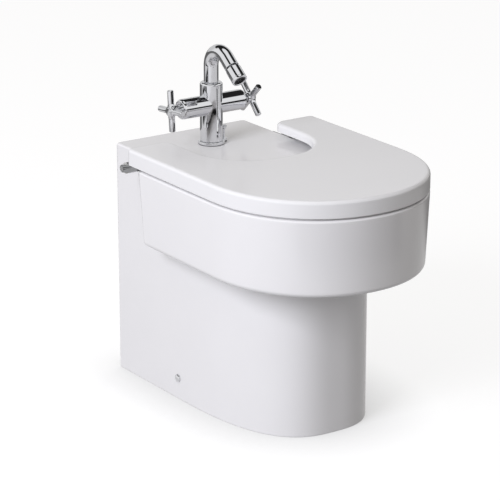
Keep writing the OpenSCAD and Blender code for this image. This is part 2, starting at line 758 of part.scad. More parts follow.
module spout_seals() color("black") at_tap() for (z = seal_depth)
  translate([0, 0, column_top - z + 0.1])
    ring(spigot_d - 0.1, spigot_d - 1.6 * seal_section + 0.2, seal_section);

module spout_grub_screw() color("dimgray") at_tap() translate([0, 0, grub_z]) difference() {
  along_y(grub_d, -column_d / 2 + 1, -spigot_d / 2 + 0.4);
  translate([0, -column_d / 2, 0]) rotate([-90, 0, 0]) cylinder(d = 2.3, h = 3.5, $fn = 6);
}

module nozzle_ball() color("silver") difference() {
  union() {
    at_leg(leg_l - ball_thread_l) cylinder(d = spout_bore_d - 2 * seat, h = ball_thread_l);
    at_leg(leg_l - over) cylinder(d = ball_neck_d, h = ball_s - leg_l + over);
    at_leg(ball_s) sphere(d = ball_d);
  }
  at_leg(leg_l - ball_thread_l - over) cylinder(d = ball_bore_d, h = ball_s + ball_d);
}

module nozzle_shell() color("silver") difference() {
  union() {
    at_leg(nozzle_start) cylinder(d1 = nozzle_d - 1, d2 = nozzle_d, h = 1);
    at_leg(nozzle_start + 1) cylinder(d = nozzle_d, h = nozzle_l - 2.5);
    at_leg(nozzle_start + nozzle_l - 1.5) cylinder(d1 = nozzle_d, d2 = nozzle_d - 2, h = 1.5);
  }
  at_leg(ball_s) sphere(d = ball_d + 2 * play);
  at_leg(ball_s) cylinder(d = ball_d + 2 * play, h = nozzle_l);
  at_leg(nozzle_start - over) cylinder(d = ball_neck_d + 3, h = ball_s - nozzle_start);
  at_leg(nozzle_start - 0.01) cylinder(d1 = ball_neck_d + 6, d2 = ball_neck_d + 3, h = 3);
}

module aerator_insert() color("dimgray") at_leg(nozzle_start + nozzle_l - insert_l - 1) difference() {
  cylinder(d = ball_d, h = insert_l);
  translate([0, 0, insert_l - 2]) cylinder(d = ball_d - 3, h = 2 + over);
  for (a = [0:60:300]) rotate(a) translate([4.6, 0, -over]) cylinder(d = 2.6, h = insert_l + 2 * over);
  translate([0, 0, -over]) cylinder(d = 3, h = insert_l + 2 * over);
}

// Right-hand valve cartridge in its barrel
module headwork() at_barrel() difference() {
  union() {
    along_x(cartridge_d, cartridge_in + seat, barrel_end - 1);
    along_x(cartridge_d - 6, barrel_end - 2, barrel_end + 0.5);
  }
  along_x(spindle_d + 2 * play, spindle_in - 1, barrel_end + over);
  along_x(supply_d, cartridge_in - over, spindle_in);
  translate([cartridge_in + 6, 0, 0]) cylinder(d = mix_d + 1, h = cartridge_d);
}
module headwork_right() color("gold") headwork();
module headwork_left() color("gold") mirror([1, 0, 0]) headwork();

module spindle() at_barrel() difference() {
  along_x(spindle_d, spindle_in, spindle_out);
  along_x(handle_screw_d + 2 * seat, spindle_out - 14, spindle_out + over);
}
module spindle_right() color("goldenrod") spindle();
module spindle_left() color("goldenrod") mirror([1, 0, 0]) spindle();

// One arm of a cross handle, upright, with a bevelled end
module handle_arm() {
  cylinder(d = arm_d, h = arm_span / 2 - 1);
  translate([0, 0, arm_span / 2 - 1]) cylinder(d1 = arm_d, d2 = arm_d - 2, h = 1);
}

module handle(turn) at_barrel() rotate([turn, 0, 0]) difference() {
  union() {
    rotate([0, 90, 0]) translate([0, 0, hub_in]) cylinder(d = hub_d, h = hub_out - hub_in);
    for (a = [0:90:270]) translate([arm_out, 0, 0]) rotate([a, 0, 0]) handle_arm();
  }
  along_x(spindle_d + 2 * seat, hub_in - over, spindle_out + seat);
  along_x(hub_d - 2 * hub_rim, spindle_out, hub_out + over);
}
module handle_right() color("silver") handle(right_turn);
module handle_left() color("silver") mirror([1, 0, 0]) handle(-left_turn);

module handle_screw() at_barrel() difference() {
  union() {
    along_x(handle_screw_d, spindle_out - 12, spindle_out + seat + over);
    along_x(hub_d - 2 * hub_rim - 3, spindle_out + seat, spindle_out + seat + handle_screw_head - 0.6);
  }
  translate([spindle_out + 1, 0, 0]) rotate([0, 90, 0]) cylinder(d = 3, h = 3, $fn = 6);
}
module handle_screw_right() color("gray") handle_screw();
module handle_screw_left() color("gray") mirror([1, 0, 0]) handle_screw();

module handle_cap() at_barrel() {
  along_x(hub_d - 2 * hub_rim - 2 * seat, hub_out - cap_t + 0.6, hub_out + 0.2);
  translate([hub_out + 0.2, 0, 0]) rotate([0, 90, 0])
    cylinder(d1 = hub_d - 2 * hub_rim - 2 * seat, d2 = hub_d - 2 * hub_rim - 3, h = 0.7);
}
module handle_cap_right() color("silver") handle_cap();
module handle_cap_left() color("silver") mirror([1, 0, 0]) handle_cap();

module lift_rod() color("silver") at_tap() translate([rod_out, 0, rod_low])
  cylinder(d = rod_d, h = knob_z + 3 - rod_low);

module lift_knob() color("silver") at_tap() translate([rod_out, 0, knob_z]) difference() {
  union() {
    cylinder(d1 = knob_d - 2.5, d2 = knob_d, h = 3);
    translate([0, 0, 3]) cylinder(d = knob_d, h = knob_h - 4.5);
    translate([0, 0, knob_h - 1.5]) cylinder(d1 = knob_d, d2 = knob_d - 3, h = 1.5);
  }
  translate([0, 0, -over]) cylinder(d = rod_d + 2 * seat, h = 3 + seat + over);
}

// Block on the rod's lower end, with its clamping screw at the rear
module rod_clamp() color("goldenrod") at_link() translate([0, link_back, rod_low]) {
  difference() {
    translate([-7, -7, 4]) cube([14, 14, clamp_h]);
    cylinder(d = rod_d + 2 * seat, h = clamp_h + 8);
  }
  translate([0, 0, 4 + clamp_h / 2]) along_y(5, 6.5, 16);
  translate([0, 0, 4 + clamp_h / 2]) along_y(10, 12, 15);
}

strap_top = rod_low + 3;
strap_back = link_back - 7 - strap_t / 2 - seat;
strap_miter = strap_t / 3;

module linkage_strap() color("silver") at_link() difference() {
  translate([-strap_w / 2, 0, 0]) rotate([90, 0, 90]) linear_extrude(strap_w) polygon([
    [strap_y - strap_t / 2, strap_low],
    [strap_y + strap_t / 2, strap_low],
    [strap_y + strap_t / 2, strap_knee - strap_miter],
    [strap_back + strap_t / 2, strap_top - strap_miter],
    [strap_back + strap_t / 2, strap_top + clamp_h],
    [strap_back - strap_t / 2, strap_top + clamp_h],
    [strap_back - strap_t / 2, strap_top + strap_miter],
    [strap_y - strap_t / 2, strap_knee + strap_miter]
  ]);
  translate([0, 0, lever_z]) along_y(strap_hole_d, strap_y - 5, strap_y + 5);
}

module pivot_rod() color("silver") at_link() translate([0, 0, lever_z]) {
  along_y(lever_d, -2, strap_y + 14);
  translate([0, inner_arm, 0]) sphere(d = lever_ball_d);
}

module rod_clips() color("gray") at_link() translate([0, 0, lever_z])
  for (y = [strap_y - 5, strap_y + 3.5]) difference() {
    along_y(lever_d + 6, y, y + 1.5);
    along_y(lever_d + 2 * seat, y - over, y + 3);
  }

module pivot_seat() color("white") at_link() translate([0, 0, lever_z]) difference() {
  along_y(2 * port_bore_r - 2 * seat, inner_arm - 5, inner_arm + 7);
  translate([0, inner_arm, 0]) sphere(d = lever_ball_d + 2 * play);
  along_y(2 * lever_hole_r, inner_arm - 8, inner_arm + 8);
}

module pivot_nut() color("silver") at_link() translate([0, 0, lever_z]) difference() {
  translate([0, inner_arm + 1, 0]) rotate([-90, 0, 0]) cylinder(r = nut_hex_r, h = 10, $fn = 12);
  along_y(2 * port_r + 2 * seat, inner_arm - over, port_end + seat);
  along_y(2 * lever_hole_r, inner_arm, inner_arm + 12);
}

module plug() color("silver") at_drain() {
  difference() {
    union() {
      translate([0, 0, plug_z]) cylinder(d = plug_d, h = plug_t - 1.5);
      translate([0, 0, plug_z + plug_t - 1.5]) cylinder(d1 = plug_d, d2 = plug_d - 5, h = 1.5);
    }
    translate([0, 0, plug_z - over]) ring(plug_d - 3, plug_d - 8, 1.2 + over);
  }
  translate([0, 0, stem_low]) cylinder(d = stem_d, h = plug_z - stem_low + over);
  intersection() {
    translate([0, 0, fin_low]) cylinder(d = waste_bore_d - 2 * 0.3, h = fin_top - fin_low);
    for (a = [0, 90]) rotate(a + 45) translate([-20, -0.8, fin_low]) cube([40, 1.6, fin_top - fin_low]);
  }
}

module plug_seal() color("black") at_drain() translate([0, 0, plug_z - 0.2])
  ring(plug_d - 3 - 2 * seat, plug_d - 8 + 2 * seat, 1.2);

// Radial holes that let the overflow's water into the waste
module overflow_slots() for (a = [0:60:300])
  translate([0, 0, side_duct_z]) rotate(a + 90 - link_angle) along_x(6, waste_bore_d / 2 - 3, waste_d / 2 + 2);

module waste_flange() color("silver") at_drain() difference() {
  union() {
    translate([0, 0, waste_flange_z]) cylinder(d = waste_flange_d, h = flange_plate - 1);
    translate([0, 0, waste_flange_z + flange_plate - 1])
      cylinder(d1 = waste_flange_d, d2 = waste_flange_d - 3, h = 1);
    translate([0, 0, waste_top - 12]) cylinder(d = upper_bore_d - 2 * seat, h = waste_flange_z - waste_top + 12 + over);
  }
  translate([0, 0, waste_top - 12 - over]) cylinder(d = waste_bore_d, h = 40);
  overflow_slots();
}

module waste_body() color("silver") difference() {
  union() {
    at_drain() {
      translate([0, 0, body_foot]) cylinder(d = waste_d, h = waste_top - body_foot);
      translate([0, 0, tail_bottom]) cylinder(d = tail_d, h = body_foot - tail_bottom + over);
    }
    at_link() translate([0, 0, lever_z]) along_y(2 * port_r, 0, port_end);
  }
  at_drain() {
    translate([0, 0, waste_top - 12 - seat]) cylinder(d = upper_bore_d, h = 14);
    translate([0, 0, body_foot + 4]) cylinder(d = waste_bore_d + 2, h = waste_top - body_foot - 14);
    translate([0, 0, tail_bottom - over]) cylinder(d = tail_bore_d, h = body_foot - tail_bottom + 6);
    overflow_slots();
  }
  at_link() translate([0, 0, lever_z]) {
    along_y(2 * port_bore_r, inner_arm - 5 - seat, port_end + over);
    along_y(2 * lever_hole_r, 0, inner_arm);
  }
}

module waste_washer_top() color("dimgray") at_drain()
  translate([0, 0, basin_floor - seat_recess + seat / 2]) ring(waste_flange_d - 2, drain_d, washer_top_t - seat);
module waste_washer_bottom() color("black") at_drain()
  translate([0, 0, throat_bottom - washer_low_t - seat]) ring(waste_d + 24, waste_d + 2 * seat, washer_low_t);
module waste_nut() color("goldenrod") at_drain()
  translate([0, 0, throat_bottom - washer_low_t - waste_nut_t - 2 * seat]) difference() {
    cylinder(d = waste_d + 20, h = waste_nut_t, $fn = 8);
    translate([0, 0, -over]) cylinder(d = waste_d + 2 * seat, h = waste_nut_t + 2 * over);
  }

module overflow_ring() color("silver") translate([0, 0, overflow_z]) difference() {
  union() {
    along_y(overflow_d - 2 * seat, overflow_face - 1, overflow_face + 10);
    along_y(overflow_d + 6, overflow_face - 2.5 - seat, overflow_face - seat);
  }
  along_y(overflow_d - 4, overflow_face - 4, overflow_face + 11);
}

module floor_brackets() color("gray") both_sides() difference() {
  union() {
    translate([side_inner - bracket_plate - 0.3, back_y - side_fix_back - bracket_depth / 2, 0])
      cube([bracket_plate, bracket_depth, bracket_tall]);
    translate([side_inner - bracket_foot, back_y - side_fix_back - bracket_depth / 2, 0])
      cube([bracket_foot - 0.3, bracket_depth, bracket_plate]);
  }
  translate([0, back_y - side_fix_back, side_fix_h])
    along_x(side_screw_d + 2 * seat, side_inner - bracket_plate - over, side_inner + over);
  for (s = [-1, 1])
    translate([side_inner - bracket_foot + 16, back_y - side_fix_back + s * floor_hole_gap / 2, -over])
      cylinder(d = floor_hole_d, h = bracket_plate + 2 * over);
}

module side_screws() color("silver") both_sides() translate([0, back_y - side_fix_back, side_fix_h])
  difference() {
    union() {
      along_x(side_screw_d, block_w / 2 - side_screw_l, block_w / 2 + over);
      along_x(side_screw_d + 5, block_w / 2 + seat, block_w / 2 + 3);
    }
    translate([block_w / 2 + 1.2, 0, 0]) rotate([0, 90, 0]) cylinder(d = 4, h = 3, $fn = 6);
  }

module side_caps() color("silver") both_sides() translate([0, back_y - side_fix_back, side_fix_h])
  difference() {
    union() {
      along_x(cap_d, block_w / 2 + seat, block_w / 2 + cap_h - 1.2);
      translate([block_w / 2 + cap_h - 1.2, 0, 0]) rotate([0, 90, 0])
        cylinder(d1 = cap_d, d2 = cap_d - 3, h = 1.2);
    }
    along_x(side_screw_d + 5 + 2 * seat, block_w / 2 - over, block_w / 2 + 3 + seat);
  }

ceramic_body();
lid();
lid_buffers();
hinge_leaf_left();
hinge_leaf_right();
hinge_pin_left();
hinge_pin_right();
hinge_bush_left();
hinge_bush_right();
hinge_bracket_left();
hinge_bracket_right();
bracket_gaskets();
bracket_screws();
bracket_nuts();
leaf_screws();
tap_body();
tap_flange();
tap_gasket();
tap_stud();
tap_clamp_seal();
tap_washer();
tap_nut();
spout();
spout_seals();
spout_grub_screw();
nozzle_ball();
nozzle_shell();
aerator_insert();
headwork_left();
headwork_right();
spindle_left();
spindle_right();
handle_left();
handle_right();
handle_screw_left();
handle_screw_right();
handle_cap_left();
handle_cap_right();
lift_rod();
lift_knob();
rod_clamp();
linkage_strap();
pivot_rod();
rod_clips();
pivot_seat();
pivot_nut();
plug();
plug_seal();
waste_flange();
waste_body();
waste_washer_top();
waste_washer_bottom();
waste_nut();
overflow_ring();
floor_brackets();
side_screws();
side_caps();
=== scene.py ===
import math

import bmesh
import bpy
from mathutils import Matrix, Vector


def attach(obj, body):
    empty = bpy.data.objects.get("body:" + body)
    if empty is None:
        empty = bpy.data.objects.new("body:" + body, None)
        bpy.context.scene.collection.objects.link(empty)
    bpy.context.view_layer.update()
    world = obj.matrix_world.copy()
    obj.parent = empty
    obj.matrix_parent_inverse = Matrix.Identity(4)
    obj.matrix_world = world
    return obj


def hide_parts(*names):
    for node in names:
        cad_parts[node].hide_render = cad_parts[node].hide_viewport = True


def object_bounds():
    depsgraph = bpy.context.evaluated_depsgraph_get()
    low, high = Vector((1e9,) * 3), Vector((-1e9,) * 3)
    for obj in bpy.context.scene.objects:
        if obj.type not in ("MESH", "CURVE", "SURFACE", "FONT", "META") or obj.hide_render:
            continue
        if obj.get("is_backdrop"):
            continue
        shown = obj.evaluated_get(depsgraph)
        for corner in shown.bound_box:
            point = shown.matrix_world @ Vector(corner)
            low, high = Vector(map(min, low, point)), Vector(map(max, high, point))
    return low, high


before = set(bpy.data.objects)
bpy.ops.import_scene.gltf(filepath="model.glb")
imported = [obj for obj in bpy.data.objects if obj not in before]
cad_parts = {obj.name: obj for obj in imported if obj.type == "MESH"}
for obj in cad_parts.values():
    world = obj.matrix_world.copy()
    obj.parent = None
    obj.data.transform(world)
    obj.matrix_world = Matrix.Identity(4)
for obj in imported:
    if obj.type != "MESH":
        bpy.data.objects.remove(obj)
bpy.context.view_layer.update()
MM = 0.001

# The camera stands in front of the bidet and to its left, a little above it, with a long
# lens. Its place and turn were fitted to the edges that the photograph shows.
CAMERA_PLACE = (-2.2269, -3.1702, 1.5374)
CAMERA_DIP = 18.21
CAMERA_TURN = -34.45

camera = bpy.data.objects.new("camera", bpy.data.cameras.new("camera"))
camera.data.lens = 180
camera.data.sensor_width = 36
camera.location = CAMERA_PLACE
camera.rotation_euler = (math.radians(90 - CAMERA_DIP), 0, math.radians(CAMERA_TURN))
bpy.context.scene.collection.objects.link(camera)
bpy.context.scene.camera = camera


# The room is a pale paper floor under an even sky that is a little darker on the right. The
# camera sees both as white, save for a painted contact shadow on the paper round the foot, and
# the chrome and the glaze see bright and dark cards in them.
class Value:
    """A socket of a shader, so that sums on it add their Math nodes."""

    def __init__(self, tree, socket):
        self.tree, self.socket = tree, socket

    def math(self, operation, *values):
        found = self.tree.node("ShaderNodeMath", {"operation": operation})
        for place, value in enumerate(values):
            self.tree.join(value, found.inputs[place])
        return Value(self.tree, found.outputs[0])

    def __add__(self, other):
        return self.math("ADD", self, other)

    def __sub__(self, other):
        return self.math("SUBTRACT", self, other)

    def __rsub__(self, other):
        return self.math("SUBTRACT", other, self)

    def __mul__(self, other):
        return self.math("MULTIPLY", self, other)

    def __truediv__(self, other):
        return self.math("DIVIDE", self, other)

    __radd__, __rmul__ = __add__, __mul__

    def at_most(self, limit):
        return self.math("MINIMUM", self, limit)

    def root(self):
        return self.math("SQRT", self)

    def between(self, low, high):
        """0 below low, 1 above high and a smooth step between them."""
        found = self.tree.node(
            "ShaderNodeMapRange",
            {"interpolation_type": "SMOOTHSTEP"},
            Value=self,
            From_Min=low,
            From_Max=high,
        )
        return Value(self.tree, found.outputs[0])

    def within(self, rise, fall):
        """1 from the end of one smooth step to the start of another, and 0 outside them."""
        return self.between(*rise) * (1 - self.between(*fall))


class Tree:
    """A node tree that is filled from top to bottom."""

    def __init__(self, owner):
        owner.use_nodes = True
        self.tree = owner.node_tree
        self.tree.nodes.clear()

    def join(self, value, socket):
        if isinstance(value, Value):
            self.tree.links.new(value.socket, socket)
        elif hasattr(value, "is_output"):
            self.tree.links.new(value, socket)
        elif hasattr(socket.default_value, "__len__") and len(socket.default_value) == 4:
            socket.default_value = (*value, 1) if len(value) == 3 else value
        else:
            socket.default_value = value

    def node(self, kind, settings=None, **inputs):
        found = self.tree.nodes.new(kind)
        for name, value in (settings or {}).items():
            setattr(found, name, value)
        for name, value in inputs.items():
            self.join(value, found.inputs[name.replace("_", " ")])
        return found

    def value(self, kind, output, settings=None, **inputs):
        return Value(self, self.node(kind, settings, **inputs).outputs[output])

    def axes(self, vector):
        """The parts of a vector, first X."""
        split = self.node("ShaderNodeSeparateXYZ", Vector=vector)
        return [Value(self, part) for part in split.outputs]

    def mix(self, factor, first, second):
        found = self.node("ShaderNodeMix", {"data_type": "RGBA"})
        for value, place in ((factor, 0), (first, 6), (second, 7)):
            self.join(value, found.inputs[place])
        return found.outputs[2]

    def place(self):
        return self.node("ShaderNodeTexCoord").outputs["Object"]

    def close(self, shader, kind="ShaderNodeOutputMaterial"):
        """Joins the finished shader to the tree's output."""
        self.join(shader.outputs[0], self.node(kind).inputs[0])


WHITE = (1, 1, 1)
CARD_BRIGHT = 1.0
CARD_DARK = 0.02
VIEW_EAST, VIEW_NORTH = 0.575, 0.818

SKY_LIGHT = 0.515
SKY_FALL = 0.25
SKY_TINT = (1, 0.965, 0.935)
SKY_REAR_SHADE = 0.26

world = bpy.data.worlds.new("studio")
bpy.context.scene.world = world
sky = Tree(world)
rays = sky.node("ShaderNodeLightPath")
east, north, up = sky.axes(sky.node("ShaderNodeTexCoord").outputs["Generated"])

# Parts of the sky are dark cards for glossy rays alone: high ones behind the object and over
# it, a low one in front on the right, and a faint shade over the whole rear.
rear = east * VIEW_EAST + north * VIEW_NORTH
front_right = east * VIEW_EAST - north * VIEW_NORTH
rear_card = rear.between(0.3, 0.5) * up.between(0.46, 0.52)
ceiling_card = up.within((0.69, 0.74), (0.9, 0.94))
low_card = (1 - up.between(0.1, 0.17)) * front_right.between(0.5, 0.75)
rear_shade = rear.between(0.3, 0.6) * SKY_REAR_SHADE
dark = (rear_card + ceiling_card + low_card + rear_shade).at_most(1.0)
camera_ray, glossy, clear = (
    Value(sky, rays.outputs[name])
    for name in ("Is Camera Ray", "Is Glossy Ray", "Is Transmission Ray")
)
seen = (camera_ray + glossy + clear).at_most(1.0)
card = CARD_BRIGHT - dark * glossy * (CARD_BRIGHT - CARD_DARK)
dim_side = east * 0.8 - north * 0.6
plain = SKY_LIGHT - dim_side * (SKY_LIGHT * SKY_FALL)
strength = seen * card + (1 - seen) * plain
tint = sky.mix(seen, SKY_TINT, WHITE)
sky.close(
    sky.node("ShaderNodeBackground", Color=tint, Strength=strength),
    "ShaderNodeOutputWorld",
)

PAPER = (0.3, 0.3, 0.302)
PAPER_GLOW = 0.79
PAPER_SHINE = 0.52
# The paper's glow for the camera is lowered near the foot as a painted contact shadow: its reach in
# metres and its depth.
PAINTED_SHADOW_REACH = 0.13
PAINTED_SHADOW_DEPTH = 0.5

floor_mesh = bpy.data.meshes.new("floor")
sheet = bmesh.new()
bmesh.ops.create_grid(sheet, x_segments=1, y_segments=1, size=30)
sheet.to_mesh(floor_mesh)
sheet.free()
floor = bpy.data.objects.new("floor", floor_mesh)
bpy.context.scene.collection.objects.link(floor)
floor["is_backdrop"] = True
paper = bpy.data.materials.new("paper_floor")
floor_mesh.materials.append(paper)

tree = Tree(paper)
rays = tree.node("ShaderNodeLightPath")
glossy = Value(tree, rays.outputs["Is Glossy Ray"])
looked_at = Value(tree, rays.outputs["Is Camera Ray"])
east, north, _ = tree.axes(tree.place())
distance = (east * east + north * north).root()

# Dark cards lie on the paper too, again for glossy rays alone: arcs in front and on the left,
# where the mixer's chrome reflects them, and wide fields, one far off on the right and one
# close behind the object. Distances are in metres from the middle of the floor.
toward_front = north * -1 / distance
front_card = distance.within((0.95, 1.05), (1.48, 1.58)) * toward_front.between(0.55, 0.75)
toward_left = (north * 0.34 - east * 0.94) / distance
left_card = distance.within((1.66, 1.74), (2.1, 2.2)) * toward_left.between(0.87, 0.93)
toward_right = east * VIEW_EAST - north * VIEW_NORTH - distance * 0.6
right_card = distance.between(2.6, 3.0) * toward_right.between(0, 0.2)
rear_card = (east * VIEW_EAST + north * VIEW_NORTH).between(0.6, 0.9) * 0.8
cards = (front_card + left_card + right_card + rear_card).at_most(1.0)

# Painted contact shadow: the paper's glow for the camera drops where an ambient occlusion node finds the
# foot near.
painted_foot_shadow = 1 - tree.value("ShaderNodeAmbientOcclusion", "AO", Distance=PAINTED_SHADOW_REACH)
glow = looked_at * (PAPER_GLOW - painted_foot_shadow * PAINTED_SHADOW_DEPTH) + glossy * PAPER_SHINE
matt = tree.node("ShaderNodeBsdfDiffuse", Color=PAPER)
glowing = tree.node("ShaderNodeEmission", Color=WHITE, Strength=glow)
lit_paper = tree.node("ShaderNodeAddShader")
tree.join(matt.outputs[0], lit_paper.inputs[0])
tree.join(glowing.outputs[0], lit_paper.inputs[1])
dark_paper = tree.node("ShaderNodeEmission", Color=WHITE, Strength=CARD_DARK)
paper_or_card = tree.node("ShaderNodeMixShader", Fac=glossy * cards)
tree.join(lit_paper.outputs[0], paper_or_card.inputs[1])
tree.join(dark_paper.outputs[0], paper_or_card.inputs[2])
tree.close(paper_or_card)

# One soft lamp hangs to the left and a little in front, with a faint blue in its light. The
# chrome doesn't show it.
LAMP_PLACE = Vector((-3.35, -1.0, 2.2))
LAMP_AIM = Vector((0, 0, 0.25))
LAMP_SIZE = 1.8
LAMP_POWER = 121
LAMP_TINT = (0.925, 0.935, 1)

key_lamp = bpy.data.objects.new("key_lamp", bpy.data.lights.new("key_lamp", "AREA"))
key_lamp.data.shape = "RECTANGLE"
key_lamp.data.size = key_lamp.data.size_y = LAMP_SIZE
key_lamp.data.energy = LAMP_POWER
key_lamp.data.color = LAMP_TINT
key_lamp.location = LAMP_PLACE
key_lamp.rotation_euler = (LAMP_AIM - LAMP_PLACE).to_track_quat("-Z", "Y").to_euler()
key_lamp.visible_glossy = False
bpy.context.scene.collection.objects.link(key_lamp)


# The china body is one hollow casting of vitreous china: a pedestal and rear block, a drum
# that overhangs it, and the basin. It is slip cast, glazed and fired in one piece.
def finish(
    name, colour, roughness, metal=0.0, coat=0.0, tone=0.03, grain=40, wave=0.0, wave_scale=60
):
    """A material with a slightly uneven tone and gloss, and a faint wave in its surface.

    All of it is worked out from the place on the object, so that it moves with its piece.
    """
    made = bpy.data.materials.new(name)
    made.diffuse_color = (*colour, 1)
    tree = Tree(made)
    place = tree.place()

    def noise(scale, detail):
        return tree.value("ShaderNodeTexNoise", "Fac", Vector=place, Scale=scale, Detail=detail)

    cloud = noise(grain, 3.0)
    darker = tuple(part * (1 - tone) for part in colour)
    smudge = noise(grain * 0.35, 2.0)
    skin = tree.node(
        "ShaderNodeBsdfPrincipled",
        Base_Color=tree.mix(cloud.between(0.3, 0.7), darker, colour),
        Metallic=metal,
        Roughness=roughness * (smudge * 0.5 + 0.75),
        Coat_Weight=coat,
        Coat_Roughness=0.03,
    )
    if wave:
        ripple = noise(wave_scale, 1.0)
        bump = tree.node("ShaderNodeBump", Strength=wave, Distance=0.001, Height=ripple)
        tree.join(bump.outputs[0], skin.inputs["Normal"])
    tree.close(skin)
    return made


def place_piece(name, bm, material, body, slot, *stands_for, smooth=35):
    """Puts a finished mesh in the scene as a piece that rides on a body."""
    mesh = bpy.data.meshes.new(name)
    bm.to_mesh(mesh)
    bm.free()
    mesh.materials.append(material)
    piece = bpy.data.objects.new(name, mesh)
    bpy.context.scene.collection.objects.link(piece)
    mesh.shade_smooth()
    mesh.set_sharp_from_angle(angle=math.radians(smooth))
    even = piece.modifiers.new("even_shading", "WEIGHTED_NORMAL")
    even.keep_sharp = True
    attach(piece, body)
    if stands_for:
        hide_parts(*stands_for)


BACK = 285 * MM
RIM = 400 * MM
NOSE_POWER = 2.12
DRUM = dict(half=185 * MM, nose=200 * MM, side=370 * MM, rear=155 * MM, corner=9 * MM, power=NOSE_POWER)
FOOT = dict(half=130 * MM, nose=267 * MM, side=185 * MM, rear=0, corner=6 * MM, power=2.78)


def outline(share, inset, half, rear, side, nose, power, corner):
    """Point at a share of the way round a plan with straight sides and a rounded nose.

    The nose takes the first half of the way, and the sides, rear corners and rear the rest.
    """
    width, top, bend = half - inset, BACK - rear - inset, BACK - side
    if share <= 0.5:
        turn = math.tau * share
        across, ahead = math.cos(turn), math.sin(turn)
        reach = abs(across) ** (2 / power) * math.copysign(1, across)
        return Vector((width * reach, bend - (nose - inset) * abs(ahead) ** (2 / power), 0))
    if share > 0.75:
        point = outline(1.5 - share, inset, half, rear, side, nose, power, corner)
        return Vector((-point.x, point.y, 0))
    along_side = (share - 0.5) / 0.075
    round_corner = (share - 0.575) / 0.075
    to_middle = (share - 0.65) / 0.1
    if along_side < 1:
        return Vector((-width, bend + (top - corner - bend) * along_side, 0))
    if round_corner < 1:
        turn = math.pi - round_corner * math.pi / 2
        x, y = -width + corner + corner * math.cos(turn), top - corner + corner * math.sin(turn)
        return Vector((x, y, 0))
    return Vector(((corner - width) * (1 - to_middle), top, 0))


def loft(plan, levels, segments=160):
    """A closed shell through rings: plan(share, size) gives a ring's points."""
    bm = bmesh.new()
    turn = bm.verts.layers.float.new("turn")
    bmesh.ops.create_circle(bm, cap_ends=True, radius=1, segments=segments)
    for vert in bm.verts:
        vert[turn] = (math.atan2(vert.co.y, vert.co.x) / math.tau) % 1.0
    ring, edges = list(bm.verts), list(bm.edges)
    for number, (size, height) in enumerate(levels):
        if number:
            grown = bmesh.ops.extrude_edge_only(bm, edges=edges)["geom"]
            ring = [part for part in grown if isinstance(part, bmesh.types.BMVert)]
            edges = [part for part in grown if isinstance(part, bmesh.types.BMEdge)]
        for vert in ring:
            spot = plan(vert[turn], size)
            vert.co = (spot.x, spot.y, height)
    bmesh.ops.edgeloop_fill(bm, edges=edges)
    bmesh.ops.recalc_face_normals(bm, faces=bm.faces)
    return bm


def stock(bm):
    """An object in the scene that only serves to be joined to another or cut from it."""
    mesh = bpy.data.meshes.new("stock")
    bm.to_mesh(mesh)
    bm.free()
    made = bpy.data.objects.new("stock", mesh)
    bpy.context.scene.collection.objects.link(made)
    return made


def carve(bm, *steps):
    """The mesh after each (operation, tool) has been joined to it or cut from it."""
    work = stock(bm)
    for operation, tool in steps:
        other = stock(tool)
        change = work.modifiers.new("change", "BOOLEAN")
        change.operation, change.object, change.solver = operation, other, "EXACT"
        bpy.context.view_layer.update()
        evaluated = work.evaluated_get(bpy.context.evaluated_depsgraph_get())
        worked = bpy.data.meshes.new_from_object(evaluated)
        work.modifiers.clear()
        work.data = worked
        bpy.data.objects.remove(other)
    done = bmesh.new()
    done.from_mesh(work.data)
    bpy.data.objects.remove(work)
    bmesh.ops.remove_doubles(done, verts=done.verts, dist=2e-6)
    return done


def soften(bm, edges, width, segments=3, **options):
    """Rounds some edges of a mesh."""
    bmesh.ops.bevel(
        bm,
        geom=edges,
        offset=width,
        offset_type="OFFSET",
        segments=segments,
        profile=0.5,
        affect="EDGES",
        material=-1,
        **options,
    )


def rod(radius, start, end, axis="Z", at=(0, 0, 0), segments=48, bevel=0.0):
    """A round bar along an axis, from one distance to another."""
    bm = bmesh.new()
    bmesh.ops.create_cone(
        bm, cap_ends=True, segments=segments, radius1=radius, radius2=radius, depth=end - start
    )
    bmesh.ops.translate(bm, vec=(0, 0, (start + end) / 2), verts=bm.verts)
    if bevel:
        rims = [edge for edge in bm.edges if len({round(vert.co.z, 6) for vert in edge.verts}) == 1]
        soften(bm, rims, bevel)
    if axis == "X":
        bmesh.ops.rotate(bm, matrix=Matrix.Rotation(math.pi / 2, 3, "Y"), verts=bm.verts)
    if axis == "Y":
        bmesh.ops.rotate(bm, matrix=Matrix.Rotation(-math.pi / 2, 3, "X"), verts=bm.verts)
    bmesh.ops.translate(bm, vec=at, verts=bm.verts)
    return bm


def block(low, high):
    """A box between two corners."""
    bm = bmesh.new()
    bmesh.ops.create_cube(bm, size=1)
    low, high = Vector(low), Vector(high)
    bmesh.ops.scale(bm, vec=high - low, verts=bm.verts)
    bmesh.ops.translate(bm, vec=(low + high) / 2, verts=bm.verts)
    return bm


def rounded(radius, start, steps=7):
    """Insets and rises of a quarter round that starts at an inset, from its flat end."""
    turns = [math.pi / 2 * step / steps for step in range(steps + 1)]
    return [(start + radius * (1 - math.sin(turn)), radius * (1 - math.cos(turn))) for turn in turns]


def upper_edge(radius, top, steps=7):
    """Insets and heights of a quarter round that ends in a top, from the side."""
    return [(inset, top - drop) for inset, drop in reversed(rounded(radius, 0, steps))]


def drum_plan(share, inset):
    return outline(share, inset, **DRUM)


def foot_plan(share, inset):
    return outline(share, inset, **FOOT)


WALL = 13 * MM
EDGE = 4 * MM
DRUM_FOOT = 270 * MM
DRUM_FOOT_ROUND = 9 * MM
DRUM_TAPER = 5 * MM
REBATE_WIDTH = 7 * MM
REBATE_FLOOR = 396.6 * MM
UNDER_DECK = 385 * MM

